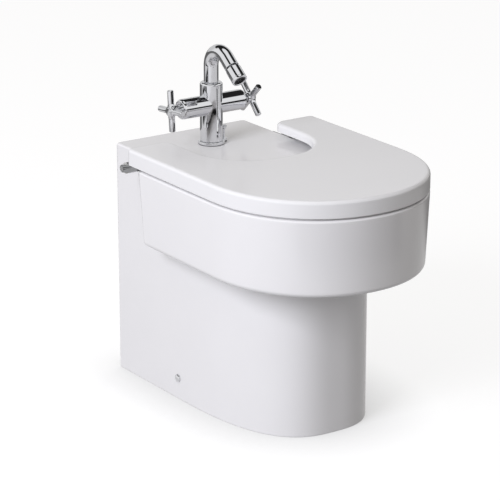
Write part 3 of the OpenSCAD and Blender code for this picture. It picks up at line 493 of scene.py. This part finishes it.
shoulder = upper_edge(EDGE, REBATE_FLOOR - 0.1 * MM)
drum_levels = [(inset, DRUM_FOOT + rise) for inset, rise in rounded(DRUM_FOOT_ROUND, DRUM_TAPER)]
low, high = drum_levels[-1][1], shoulder[0][1]
drum_levels += [(DRUM_TAPER * (1 - part / 6), low + (high - low) * part / 6) for part in range(1, 7)]
drum_levels += shoulder[1:]
drum_levels += [(REBATE_WIDTH, REBATE_FLOOR), (REBATE_WIDTH, RIM - 0.4 * MM)]
drum_levels.append((REBATE_WIDTH + 0.4 * MM, RIM))
foot_levels = [(1.2 * MM, 0), (0.4 * MM, 0.6 * MM), (0, 2 * MM), *upper_edge(EDGE, RIM)]

DRAIN = BACK - 385 * MM
BOWL_MIDDLE = BACK - 426 * MM
BOWL_HALF = (148 * MM, 114 * MM)
BOWL_POWER = 2.5
BOWL_FLOOR = 282 * MM
BOWL_DEPTH = RIM - BOWL_FLOOR
BOWL_SKIN = 11 * MM
BOWL_FLAT, BOWL_WALL = 0.33, 0.67
BOWL_TURN = 2.4
BOWL_LIP = ((0, 3.3), (0.3, 1.9), (1.1, 0.8), (2.4, 0.15), (3.2, -0.4))


def bowl_plan(share, size):
    """The basin's outline at a share of its depth, grown by a thickness."""
    full, grow = size
    turned = (math.cos(math.tau * share), math.sin(math.tau * share))
    x, y = (
        (half * full + grow) * math.copysign(abs(part) ** (2 / BOWL_POWER), part)
        for half, part in zip(BOWL_HALF, turned)
    )
    return Vector((x, DRAIN + (BOWL_MIDDLE - DRAIN) * full + y, 0))


def bowl_levels(grow, steps=22):
    """Rings of the basin from its flat floor through a round turn to its steep wall."""
    made = []
    for step in range(steps + 1):
        part = (step / steps) ** 1.9 * 0.972
        full = BOWL_FLAT + BOWL_WALL * (1 - (1 - part) ** BOWL_TURN) ** (1 / BOWL_TURN)
        made.append(((full, grow), BOWL_FLOOR - grow * (1 - part) + part * BOWL_DEPTH))
    return made


basin = bowl_levels(0)
basin[0] = ((basin[0][0][0] * 0.8, 0), BOWL_FLOOR)
basin.insert(1, ((basin[1][0][0] * 0.82, 0), BOWL_FLOOR + 0.2 * MM))
basin[-1:] = [((1, spread * MM), RIM - drop * MM) for spread, drop in BOWL_LIP]
foot_hollow = [
    (WALL, -10 * MM),
    (WALL, UNDER_DECK - 6 * MM),
    (WALL + 2 * MM, UNDER_DECK - 1.6 * MM),
    (WALL + 6 * MM, UNDER_DECK),
]
drum_hollow = [
    (WALL + DRUM_TAPER, DRUM_FOOT + WALL),
    (WALL, UNDER_DECK - 6 * MM),
    (WALL + 6 * MM, UNDER_DECK - 0.01 * MM),
]

DRAIN_SPOT = (0, DRAIN, 0)
DUCT = BACK - 288 * MM
DUCT_SPOT = (0, DUCT, 0)
CHANNEL = 269.5 * MM
OVERFLOW = 362 * MM
OVERFLOW_FACE = BACK - 313 * MM
TAP = BACK - 95 * MM
TAP_SPOT = (0, TAP, 0)
ROD_SPOT = (25 * MM, TAP, 0)
HINGE = BACK - 106 * MM
BRACKET_HOLE = 366 * MM
SIDE_SCREW = (BACK - 188 * MM, 37 * MM)

body = carve(
    # The pedestal with its block and the drum, both hollow.
    loft(foot_plan, foot_levels),
    ("UNION", loft(drum_plan, drum_levels)),
    ("DIFFERENCE", loft(foot_plan, foot_hollow, 96)),
    ("DIFFERENCE", loft(drum_plan, drum_hollow, 96)),
    # The basin's skin, the boss of its drain, and the overflow's duct and channel.
    ("UNION", loft(bowl_plan, bowl_levels(BOWL_SKIN, 14), 96)),
    ("UNION", rod(36 * MM, 258 * MM, 283 * MM, at=DRAIN_SPOT, segments=72)),
    ("UNION", rod(17 * MM, CHANNEL, 386 * MM, at=DUCT_SPOT)),
    ("UNION", rod(11 * MM, DRAIN + 26.5 * MM, DUCT, "Y", (0, 0, CHANNEL))),
    # The basin, its drain and seat, and the way of the overflow's water.
    ("DIFFERENCE", loft(bowl_plan, basin, 128)),
    ("DIFFERENCE", rod(22.5 * MM, 250 * MM, 300 * MM, at=DRAIN_SPOT, segments=64)),
    ("DIFFERENCE", rod(32.5 * MM, 279 * MM, 300 * MM, at=DRAIN_SPOT, segments=64)),
    ("DIFFERENCE", rod(6 * MM, DRAIN, DUCT, "Y", (0, 0, CHANNEL))),
    ("DIFFERENCE", rod(9 * MM, CHANNEL - 6 * MM, 373 * MM, at=DUCT_SPOT)),
    ("DIFFERENCE", rod(11 * MM, OVERFLOW_FACE - 20 * MM, DUCT, "Y", (0, 0, OVERFLOW))),
    ("DIFFERENCE", rod(15 * MM, OVERFLOW_FACE - 20 * MM, OVERFLOW_FACE, "Y", (0, 0, OVERFLOW))),
    # Holes for the tap and its rod, the pipes, the side screws and the hinge brackets.
    ("DIFFERENCE", rod(17.5 * MM, 380 * MM, 410 * MM, at=TAP_SPOT)),
    ("DIFFERENCE", rod(3 * MM, 380 * MM, 410 * MM, at=ROD_SPOT, segments=24)),
    ("DIFFERENCE", block((-90 * MM, BACK - 20 * MM, -10 * MM), (90 * MM, BACK + 10 * MM, 290 * MM))),
    ("DIFFERENCE", rod(4.5 * MM, -200 * MM, 200 * MM, "X", (0, *SIDE_SCREW))),
    ("DIFFERENCE", rod(3.75 * MM, -140 * MM, 140 * MM, "X", (0, HINGE - 14 * MM, BRACKET_HOLE))),
    ("DIFFERENCE", rod(3.75 * MM, -140 * MM, 140 * MM, "X", (0, HINGE + 14 * MM, BRACKET_HOLE))),
)
china = finish(
    "glazed_china", (0.82, 0.815, 0.825), 0.16, coat=0.12, tone=0.012, grain=9, wave=0.02, wave_scale=16
)
place_piece("china_body", body, china, "base", "china", "ceramic_body", smooth=28)

# The lid is one moulding of gloss white resin, 25 mm thick, with a soft upper edge and a thin
# lip round its lower one. It is hollow below and notched for the tap, on two rear arms.
LID_BOTTOM = 402.5 * MM
LID_TOP = 427.5 * MM
LID_EDGE = 6 * MM
LID_REAR = BACK - 124 * MM
LID_CORNER = 9 * MM
LIP = 400.1 * MM
LIP_WIDTH = 1.9 * MM
NOTCH_HALF = 104.5 * MM
NOTCH_SIDE = 200 * MM
NOTCH_NOSE = 107.5 * MM
NOTCH_POWER = 2.2
NOTCH_CORNER = 20 * MM


def lid_plan(share, inset):
    """Point of the lid's edge, from the middle of its front to the middle of the notch and back.

    On the way it passes the nose, a side, a rear corner, an arm's end and corner, and the notch.
    """
    part, hand = (share * 2, 1) if share <= 0.5 else (2 - share * 2, -1)
    half, nose, bend = DRUM["half"], DRUM["nose"], BACK - DRUM["side"]
    notch_rear, notch_bend = LID_REAR - NOTCH_CORNER, BACK - NOTCH_SIDE

    def leg(start, end):
        return (part - start) / (end - start)

    if part < 0.34:
        turn = (1 - leg(0, 0.34)) * math.pi / 2
        x = (half - inset) * math.cos(turn) ** (2 / NOSE_POWER)
        y = bend - (nose - inset) * math.sin(turn) ** (2 / NOSE_POWER)
    elif part < 0.44:
        x, y = half - inset, bend + leg(0.34, 0.44) * (LID_REAR - LID_CORNER - bend)
    elif part < 0.54:
        turn = leg(0.44, 0.54) * math.pi / 2
        x = half - LID_CORNER + (LID_CORNER - inset) * math.cos(turn)
        y = LID_REAR - LID_CORNER + (LID_CORNER - inset) * math.sin(turn)
    elif part < 0.6:
        x = half - LID_CORNER - leg(0.54, 0.6) * (half - LID_CORNER - NOTCH_HALF - NOTCH_CORNER)
        y = LID_REAR - inset
    elif part < 0.7:
        turn = (1 + leg(0.6, 0.7)) * math.pi / 2
        x = NOTCH_HALF + NOTCH_CORNER + (NOTCH_CORNER - inset) * math.cos(turn)
        y = notch_rear + (NOTCH_CORNER - inset) * math.sin(turn)
    elif part < 0.74:
        x, y = NOTCH_HALF + inset, notch_rear - leg(0.7, 0.74) * (notch_rear - notch_bend)
    else:
        turn = leg(0.74, 1) * math.pi / 2
        x = (NOTCH_HALF + inset) * max(math.cos(turn), 0) ** (2 / NOTCH_POWER)
        y = notch_bend - (NOTCH_NOSE + inset) * math.sin(turn) ** (2 / NOTCH_POWER)
    return Vector((hand * x, y, 0))


def slab(low, high, **sizes):
    """A block on a plan with straight sides and a rounded nose, to cut with."""
    return loft(lambda share, inset: outline(share, inset, **sizes), [(0, low), (0, high)], 120)


SQUARE_REAR = dict(rear=90 * MM, corner=2 * MM)


def notch_wall(low, high, thickness):
    """A block as large as the notch with a wall of some thickness round it, to cut with."""
    half, nose = NOTCH_HALF + thickness, NOTCH_NOSE + thickness
    sizes = dict(half=half, side=NOTCH_SIDE, nose=nose, power=NOTCH_POWER, **SQUARE_REAR)
    return slab(low, high, **sizes)


# The lid's plate is 6 mm thick between its walls, and 14.5 mm where its arms carry the hinges.
UNDER_LID = LID_BOTTOM - 10 * MM
DEEP = LID_TOP - 6 * MM
SHALLOW = LID_TOP - 14.5 * MM
LID_INSIDE = dict(half=161 * MM, side=370 * MM, nose=176 * MM, power=NOSE_POWER, corner=12 * MM)
LIP_INSIDE = dict(half=DRUM["half"] - LIP_WIDTH, nose=DRUM["nose"] - LIP_WIDTH, **SQUARE_REAR)
BUFFER_INSET = 13 * MM

lid_levels = [(LIP_WIDTH, LIP)]
lid_levels += [(inset, LIP + rise) for inset, rise in rounded(0.5 * MM, 0, 3)]
lid_levels += upper_edge(LID_EDGE, LID_TOP, 8)
lid_levels.append((LID_EDGE + 1.6 * MM, LID_TOP))
deep = carve(
    slab(UNDER_LID, DEEP, rear=182 * MM, **LID_INSIDE),
    ("DIFFERENCE", notch_wall(380 * MM, 440 * MM, 12 * MM)),
)
shallow = carve(
    slab(UNDER_LID, SHALLOW, rear=158 * MM, **LID_INSIDE),
    ("UNION", block((-148 * MM, BACK - 170 * MM, UNDER_LID), (148 * MM, BACK - 110 * MM, SHALLOW))),
)
front_buffer = drum_plan(1 / 7, BUFFER_INSET)
rear_buffer = Vector((DRUM["half"] - BUFFER_INSET, BACK - 215 * MM, 0))
buffer_places = [(side * spot.x, spot.y, 0) for side in (-1, 1) for spot in (front_buffer, rear_buffer)]
lid_mesh = carve(
    loft(lid_plan, lid_levels, 440),
    ("DIFFERENCE", deep),
    ("DIFFERENCE", shallow),
    ("DIFFERENCE", slab(UNDER_LID, LID_BOTTOM, **{**DRUM, **LIP_INSIDE})),
    ("DIFFERENCE", notch_wall(UNDER_LID, LID_BOTTOM + 4.4 * MM, 13.5 * MM)),
    *[
        ("DIFFERENCE", rod(6.05 * MM, UNDER_LID, LID_BOTTOM + 1.5 * MM, at=place, segments=32))
        for place in buffer_places
    ],
)
lid_resin = finish(
    "gloss_resin", (0.815, 0.815, 0.825), 0.26, coat=0.03, tone=0.01, grain=8, wave=0.015, wave_scale=12
)
place_piece("lid_shell", lid_mesh, lid_resin, "lid", "lid_resin", "lid", smooth=32)


# Four rubber buffers are pressed into pockets under the lid. They keep it off the rim.
def gather(*meshes):
    """One mesh out of several that don't touch."""
    whole = bmesh.new()
    for bm in meshes:
        mesh = bpy.data.meshes.new("part")
        bm.to_mesh(mesh)
        bm.free()
        whole.from_mesh(mesh)
        bpy.data.meshes.remove(mesh)
    return whole


rubber = finish(
    "soft_rubber", (0.62, 0.62, 0.61), 0.55, tone=0.12, grain=300, wave=0.15, wave_scale=900
)
PAD_FOOT, PAD_TOP = 400.2 * MM, 403.9 * MM
pads = [rod(6 * MM, PAD_FOOT, PAD_TOP, at=place, segments=40, bevel=0.9 * MM) for place in buffer_places]
place_piece("lid_buffer_pads", gather(*pads), rubber, "lid", "rubber", "lid_buffers")


# Each hinge is a polished leaf under the lid's arm, a pin, and a bracket that is screwed to
# the side of the block through a rubber gasket. A nylon bush keeps the pin from grating.
def dress(material, *names, edge=0.3):
    """Gives parts that are carried over their finish, and rounds their edges a little."""
    for name in names:
        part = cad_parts[name]
        for slot in part.material_slots:
            slot.material = material
        weld = part.modifiers.new("weld", "WELD")
        weld.merge_threshold = 2e-6
        if edge:
            soft = part.modifiers.new("soft_edge", "BEVEL")
            soft.width, soft.segments, soft.limit_method = edge * MM, 2, "ANGLE"
            soft.angle_limit = math.radians(40)
        part.modifiers.new("even_shading", "WEIGHTED_NORMAL").keep_sharp = True


# The hinges' metal is given a dark grey colour, which is painted shade for the dark under the lid's arms
# where they sit.
shaded_hinge_metal = finish(
    "hinge_metal_painted_shade", (0.36, 0.365, 0.375), 0.16, metal=1, tone=0.1, grain=60, wave=0.03, wave_scale=200
)
steel = finish(
    "bright_steel", (0.5, 0.5, 0.51), 0.3, metal=1, tone=0.12, grain=220, wave=0.05, wave_scale=700
)
nylon = finish("nylon", (0.55, 0.55, 0.53), 0.45, tone=0.05, grain=120)
black_rubber = finish(
    "black_rubber", (0.03, 0.03, 0.032), 0.5, tone=0.2, grain=300, wave=0.15, wave_scale=900
)
dress(shaded_hinge_metal, "hinge_leaf_left", "hinge_leaf_right", edge=0.8)
dress(shaded_hinge_metal, "hinge_bracket_left", "hinge_bracket_right", edge=0.8)
dress(steel, "hinge_pin_left", "hinge_pin_right", "bracket_screws", "bracket_nuts", "leaf_screws")
dress(nylon, "hinge_bush_left", "hinge_bush_right", edge=0)
dress(black_rubber, "bracket_gaskets", edge=0)


# The mixer's body is a brass casting, turned, polished and chromed: an upright column with a
# barrel on each side. It stands on the deck through a flange and is clamped from below.
def lathe(profile, segments=96, closed=False):
    """A turned piece about Z, from (radius, height) points in millimetres."""
    bm = bmesh.new()
    points = [bm.verts.new((radius * MM, 0, height * MM)) for radius, height in profile]
    pairs = list(zip(points, points[1:] + points[:1]))
    edges = [bm.edges.new(pair) for pair in (pairs if closed else pairs[:-1])]
    bmesh.ops.spin(
        bm,
        geom=points + edges,
        cent=(0, 0, 0),
        axis=(0, 0, 1),
        angle=math.tau,
        steps=segments,
        use_merge=True,
    )
    bmesh.ops.remove_doubles(bm, verts=bm.verts, dist=1e-6)
    bmesh.ops.recalc_face_normals(bm, faces=bm.faces)
    return bm


def moved(bm, *steps):
    """The mesh after each matrix has been applied to it, the last one first."""
    matrix = Matrix.Identity(4)
    for step in steps:
        matrix = matrix @ step
    bmesh.ops.transform(bm, matrix=matrix, verts=bm.verts)
    if matrix.determinant() < 0:
        bmesh.ops.reverse_faces(bm, faces=bm.faces)
    return bm


chrome = finish("chrome_plate", (0.72, 0.725, 0.745), 0.045, metal=1, tone=0.02, grain=30)
BARREL = 467 * MM
SIDEWAYS = Matrix.Rotation(math.pi / 2, 4, "Y")
TO_TAP = Matrix.Translation(TAP_SPOT)
TO_BARREL = Matrix.Translation((0, TAP, BARREL))

column_profile = [(0, 397), (14.6, 397), (15, 397.4), (15, 406), (18.6, 406), (19, 406.4)]
column_profile += [(19, 502), (18.8, 503.2), (18.2, 504.4), (17.3, 505.3), (16.3, 505.8)]
column_profile += [(15.2, 506), (0, 506)]
half_barrel = [(17, 57), (16.85, 58.6), (16.4, 60), (15.6, 61.2), (14.5, 62.1), (13.2, 62.5), (0, 62.5)]
barrel_profile = [(radius, -place) for radius, place in reversed(half_barrel)] + half_barrel
mixer = carve(
    moved(lathe(column_profile, 128), TO_TAP),
    ("UNION", moved(lathe(barrel_profile, 128), TO_BARREL, SIDEWAYS)),
)
creases = [
    edge for edge in mixer.edges
    if len(edge.link_faces) == 2
    and abs(edge.verts[0].co.z - BARREL) < 18 * MM
    and abs(edge.verts[0].co.x) < 20 * MM
    and edge.calc_face_angle_signed() < -math.radians(20)
]
soften(mixer, creases, 0.7 * MM, 2, clamp_overlap=True)
mixer = carve(
    mixer,
    # The spout's socket, the valves' bores and the grub screw's hole.
    ("DIFFERENCE", rod(11.15 * MM, 476 * MM, 520 * MM, at=TAP_SPOT, segments=64)),
    ("DIFFERENCE", rod(11.05 * MM, 31 * MM, 70 * MM, "X", (0, TAP, BARREL), 64)),
    ("DIFFERENCE", rod(11.05 * MM, -70 * MM, -31 * MM, "X", (0, TAP, BARREL), 64)),
    ("DIFFERENCE", rod(2.05 * MM, TAP - 30 * MM, TAP, "Y", (0, 0, 497 * MM), 24)),
    # The inlets and the stud's hole in the column's foot.
    ("DIFFERENCE", rod(5 * MM, 390 * MM, 411 * MM, at=(-7.5 * MM, TAP + 3.5 * MM, 0), segments=32)),
    ("DIFFERENCE", rod(5 * MM, 390 * MM, 411 * MM, at=(7.5 * MM, TAP + 3.5 * MM, 0), segments=32)),
    ("DIFFERENCE", rod(4.05 * MM, 390 * MM, 418 * MM, at=(0, TAP - 9 * MM, 0), segments=32)),
)
place_piece("mixer_body", mixer, chrome, "base", "chrome", "tap_body", smooth=32)

FLANGE_FOOT, FLANGE_TOP = 401.1, 405.93
ROD_EAR = (25 * MM, 0, 0)
flange_profile = [(15.1, FLANGE_FOOT), (22.4, FLANGE_FOOT), (22.5, 401.3), (22.5, 404.1)]
flange_profile += [(22.2, 405), (21.6, 405.6), (20.6, FLANGE_TOP), (15.1, FLANGE_TOP)]
flange = carve(
    lathe(flange_profile, 128, closed=True),
    ("UNION", rod(5.5 * MM, FLANGE_FOOT * MM, FLANGE_TOP * MM, at=ROD_EAR, segments=48, bevel=0.8 * MM)),
    ("DIFFERENCE", rod(15.1 * MM, 398 * MM, 408 * MM, segments=96)),
    ("DIFFERENCE", rod(2.2 * MM, 398 * MM, 408 * MM, at=ROD_EAR, segments=32)),
)
place_piece("tap_foot_flange", moved(flange, TO_TAP), chrome, "base", "chrome", "tap_flange")

brass = finish(
    "cast_brass", (0.62, 0.44, 0.2), 0.34, metal=1, tone=0.15, grain=160, wave=0.06, wave_scale=500
)
dress(brass, "tap_stud", "tap_nut", "waste_nut", "rod_clamp")
dress(black_rubber, "tap_gasket", "tap_clamp_seal", edge=0)
dress(steel, "tap_washer", edge=0.2)


# The spout is a chromed tube, bent in one sweep towards the basin. Its spigot turns in the
# column on two rubber rings, and a blackened grub screw keeps it from lifting out.
def bent_tube(radius, before, after, segments=96, steps=56):
    """A solid round bar that rises, bends and runs on, with its bend's centre at the origin."""
    bm = bmesh.new()
    bmesh.ops.create_circle(bm, cap_ends=True, radius=radius, segments=segments)
    bmesh.ops.translate(bm, vec=(0, BEND, -before), verts=bm.verts)
    edges = list(bm.edges)

    def carry_on(edges, shift):
        grown = bmesh.ops.extrude_edge_only(bm, edges=edges)["geom"]
        new_ring = [part for part in grown if isinstance(part, bmesh.types.BMVert)]
        bmesh.ops.translate(bm, vec=shift, verts=new_ring)
        return [part for part in grown if isinstance(part, bmesh.types.BMEdge)]

    edges = carry_on(edges, (0, 0, before))
    swept = bmesh.ops.spin(bm, geom=edges, cent=(0, 0, 0), axis=(1, 0, 0), angle=BEND_TURN, steps=steps)
    edges = [part for part in swept["geom_last"] if isinstance(part, bmesh.types.BMEdge)]
    edges = carry_on(edges, Vector((0, -math.sin(BEND_TURN), math.cos(BEND_TURN))) * after)
    bmesh.ops.edgeloop_fill(bm, edges=edges)
    bmesh.ops.remove_doubles(bm, verts=bm.verts, dist=1e-6)
    bmesh.ops.recalc_face_normals(bm, faces=bm.faces)
    rims = [edge for edge in bm.edges if len(edge.link_faces) == 2 and edge.calc_face_angle() > 1]
    soften(bm, rims, 0.7 * MM)
    return bm


BEND = 28 * MM
BEND_TURN = math.radians(128)
RISE = 27.7 * MM
RISE_TOP = 534 * MM
LEG = 22 * MM
SPIGOT_SPOT = (0, BEND, 0)
TO_BEND = Matrix.Translation((0, TAP - BEND, RISE_TOP))
TO_LEG = TO_BEND @ Matrix.Rotation(BEND_TURN, 4, "X") @ Matrix.Translation(SPIGOT_SPOT)

swan_neck = carve(
    bent_tube(12.3 * MM, RISE, LEG),
    ("UNION", rod(11 * MM, -54 * MM, -26 * MM, at=SPIGOT_SPOT, segments=64, bevel=0.5 * MM)),
    ("DIFFERENCE", bent_tube(8.5 * MM, RISE, LEG + 2 * MM, 48, 32)),
    ("DIFFERENCE", rod(7 * MM, -60 * MM, -20 * MM, at=SPIGOT_SPOT, segments=48)),
)
place_piece("swan_neck", moved(swan_neck, TO_BEND), chrome, "spout", "chrome", "spout", smooth=32)

black_steel = finish("blackened_steel", (0.03, 0.03, 0.032), 0.35, metal=0.3, tone=0.15, grain=260)
dress(black_steel, "spout_grub_screw", edge=0.2)
dress(black_rubber, "spout_seals", edge=0)

# The outlet is a chromed shell on a ball, so that the water can be aimed. A plastic insert
# in its mouth mixes air into the jet.
NOZZLE_TOP = LEG / MM + 3
NOZZLE_END = NOZZLE_TOP + 26
BALL = NOZZLE_TOP + 7


def ball_arc(radius, turns):
    """Points of a ball's outline, from the turns in degrees away from its upper pole."""
    turns = [math.radians(turn) for turn in turns]
    return [(radius * math.sin(turn), BALL - radius * math.cos(turn)) for turn in turns]


ball_profile = [(5, BALL - 17), (8.4, BALL - 17), (8.4, BALL - 10.2), (7, BALL - 10), (7, BALL - 6.6)]
ball_profile += [*ball_arc(9.5, range(50, 151, 10)), (5, BALL + 8.1)]
ball = moved(lathe(ball_profile, 64, closed=True), TO_LEG)
place_piece("nozzle_ball_joint", ball, chrome, "spout", "chrome", "nozzle_ball")

shell_start = [(8.7, 2.4), (8.7, 1), (9.8, 0), (11.8, 0), (12.6, 0.3), (13, 1.1)]
shell_groove = [(13, -5.4), (12.75, -5.1), (12.75, -4.7), (13, -4.4)]
shell_mouth = [(13, -1.4), (12.6, -0.4), (11.8, 0), (10.6, 0), (10, -0.5), (9.7, -1.6)]
shell_profile = [(radius, NOZZLE_TOP + place) for radius, place in shell_start]
shell_profile += [(radius, NOZZLE_END + place) for radius, place in shell_groove + shell_mouth]
shell_profile += ball_arc(9.7, (90, 80, 70, 64))
shell = moved(lathe(shell_profile, 96, closed=True), TO_LEG)
place_piece("nozzle_shell_turned", shell, chrome, "nozzle", "chrome", "nozzle_shell")

dark_plastic = finish("dark_plastic", (0.035, 0.035, 0.038), 0.4, tone=0.1, grain=200)
dress(dark_plastic, "aerator_insert", edge=0.2)

# Each valve is a cartridge in its barrel with a spindle, and a cross handle that is cast in
# one piece, polished and chromed. A screw under a flush cap holds the handle.
dress(chrome, "headwork_left", "headwork_right", "spindle_left", "spindle_right", edge=0.25)
dress(steel, "handle_screw_left", "handle_screw_right", edge=0.15)
ARM = 5.2 * MM
REACH = 35 * MM
WEB = 8.5 * MM
ARM_PLACE = 79 * MM
HUB = (70, 85)


def cross_plan(share, inset):
    """Point of a cross with webbed corners, an arm's tip first."""
    quarter, step = divmod(round(share * 64), 16)
    wide, corner = ARM - inset, ARM + WEB
    straight = [(REACH, 0), (REACH, wide), (REACH - 1 * MM, wide), (24 * MM, wide)]
    radius = corner - wide
    web = [math.radians(-90 - 90 * number / 8) for number in range(9)]
    arc = [(corner + radius * math.cos(turn), corner + radius * math.sin(turn)) for turn in web]
    points = straight + arc + [(y, x) for x, y in reversed(straight[1:])]
    return Matrix.Rotation(quarter * math.pi / 2, 3, "Z") @ Vector((*points[step], 0))


def handle_mesh():
    """A cross handle about Z, with its arms at their distance from the tap's axis."""
    turns = [math.radians(turn) for turn in range(-80, 81, 10)]
    cross = loft(cross_plan, [(ARM * (1 - math.cos(turn)), ARM * math.sin(turn)) for turn in turns], 64)
    for vert in cross.verts:
        x, y, z = vert.co
        if max(abs(x), abs(y)) > REACH - 0.1 * MM:
            vert.co = (x, y * 0.8, z * 0.8) if abs(x) > abs(y) else (x * 0.8, y, z * 0.8)
    bmesh.ops.translate(cross, vec=(0, 0, ARM_PLACE), verts=cross.verts)
    low, high = HUB
    hub = [(0, low), (7.6, low), (8.2, low + 0.3), (8.5, low + 1)]
    hub += [(8.5, high - 1.2), (8.2, high - 0.4), (7.6, high), (0, high)]
    return carve(
        cross,
        ("UNION", lathe(hub, 64)),
        ("DIFFERENCE", rod(4.6 * MM, (low - 2) * MM, (high - 4.4) * MM, segments=40)),
        ("DIFFERENCE", rod(6.5 * MM, (high - 4.5) * MM, (high + 2) * MM, segments=48)),
    )


cap_steps = [(0, -2), (6.3, -2), (6.45, -1.8), (6.45, 0.1), (6.1, 0.5), (5.2, 0.75), (3, 0.9), (0, 0.95)]
cap_profile = [(radius, HUB[1] + place) for radius, place in cap_steps]
for side, turn, hand in (("left", -4.6, -1), ("right", 46, 1)):
    mirror = Matrix.Scale(hand, 4, (1, 0, 0))
    turned = TO_BARREL @ Matrix.Rotation(math.radians(turn), 4, "X") @ mirror @ SIDEWAYS
    handle, cap = moved(handle_mesh(), turned), moved(lathe(cap_profile, 48), turned)
    place_piece("cross_handle_" + side, handle, chrome, side + "_valve", "chrome", "handle_" + side)
    place_piece("handle_button_" + side, cap, chrome, side + "_valve", "chrome", "handle_cap_" + side)

# The pop-up's knob is pulled up to lower the plug. Its rod runs down through the flange and
# the deck to a clamp, a perforated strap and the lever of the waste.
knob_profile = [(0, 421), (2.8, 421), (3.2, 421.3), (3.9, 422.4), (4.4, 423.6), (4.5, 424.6)]
knob_profile += [(4.5, 426.6), (4.2, 427.4), (3.5, 427.9), (2, 428), (0, 428)]
knob = carve(lathe(knob_profile, 48), ("DIFFERENCE", rod(2.05 * MM, 419 * MM, 424 * MM, segments=24)))
knob = moved(knob, Matrix.Translation(ROD_SPOT))
place_piece("pull_knob", knob, chrome, "lift", "chrome", "lift_knob")
dress(chrome, "lift_rod", edge=0)
dress(steel, "linkage_strap", "pivot_rod", "rod_clips", edge=0.2)
dress(nylon, "pivot_seat", edge=0)

# The waste is a chromed brass bush in two halves that clamp the china between washers. Its
# domed plug rises from the flange, and a ring trims the overflow's mouth.
dress(chrome, "waste_flange", "waste_body", "plug", "pivot_nut", edge=0.6)
dress(black_rubber, "waste_washer_top", "waste_washer_bottom", "plug_seal", edge=0)
dress(chrome, "overflow_ring", edge=0.8)

# The pedestal is held by zinc-plated angles on the floor. A screw goes into each through the
# side of the china, and a chromed cap hides its head.
zinc = finish(
    "zinc_plate", (0.58, 0.59, 0.6), 0.42, metal=1, tone=0.22, grain=90, wave=0.05, wave_scale=300
)
dress(zinc, "floor_brackets", edge=0.8)
dress(steel, "side_screws", edge=0.3)
dome = [(5.6, 130.1), (6.7, 130.1), (6.9, 130.4), (6.8, 131.4), (6.4, 132.5), (5.7, 133.4)]
dome += [(4.6, 134.2), (3.2, 134.8), (1.6, 135), (0, 135), (0, 133.1), (5.3, 133.1)]
to_side = Matrix.Translation((0, *SIDE_SCREW))
caps = [
    moved(lathe(dome, 64, closed=True), to_side, Matrix.Scale(side, 4, (1, 0, 0)), SIDEWAYS)
    for side in (-1, 1)
]
place_piece("screw_caps", gather(*caps), chrome, "base", "chrome", "side_caps")

low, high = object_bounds()

bpy.context.scene.view_settings.view_transform = "Standard"
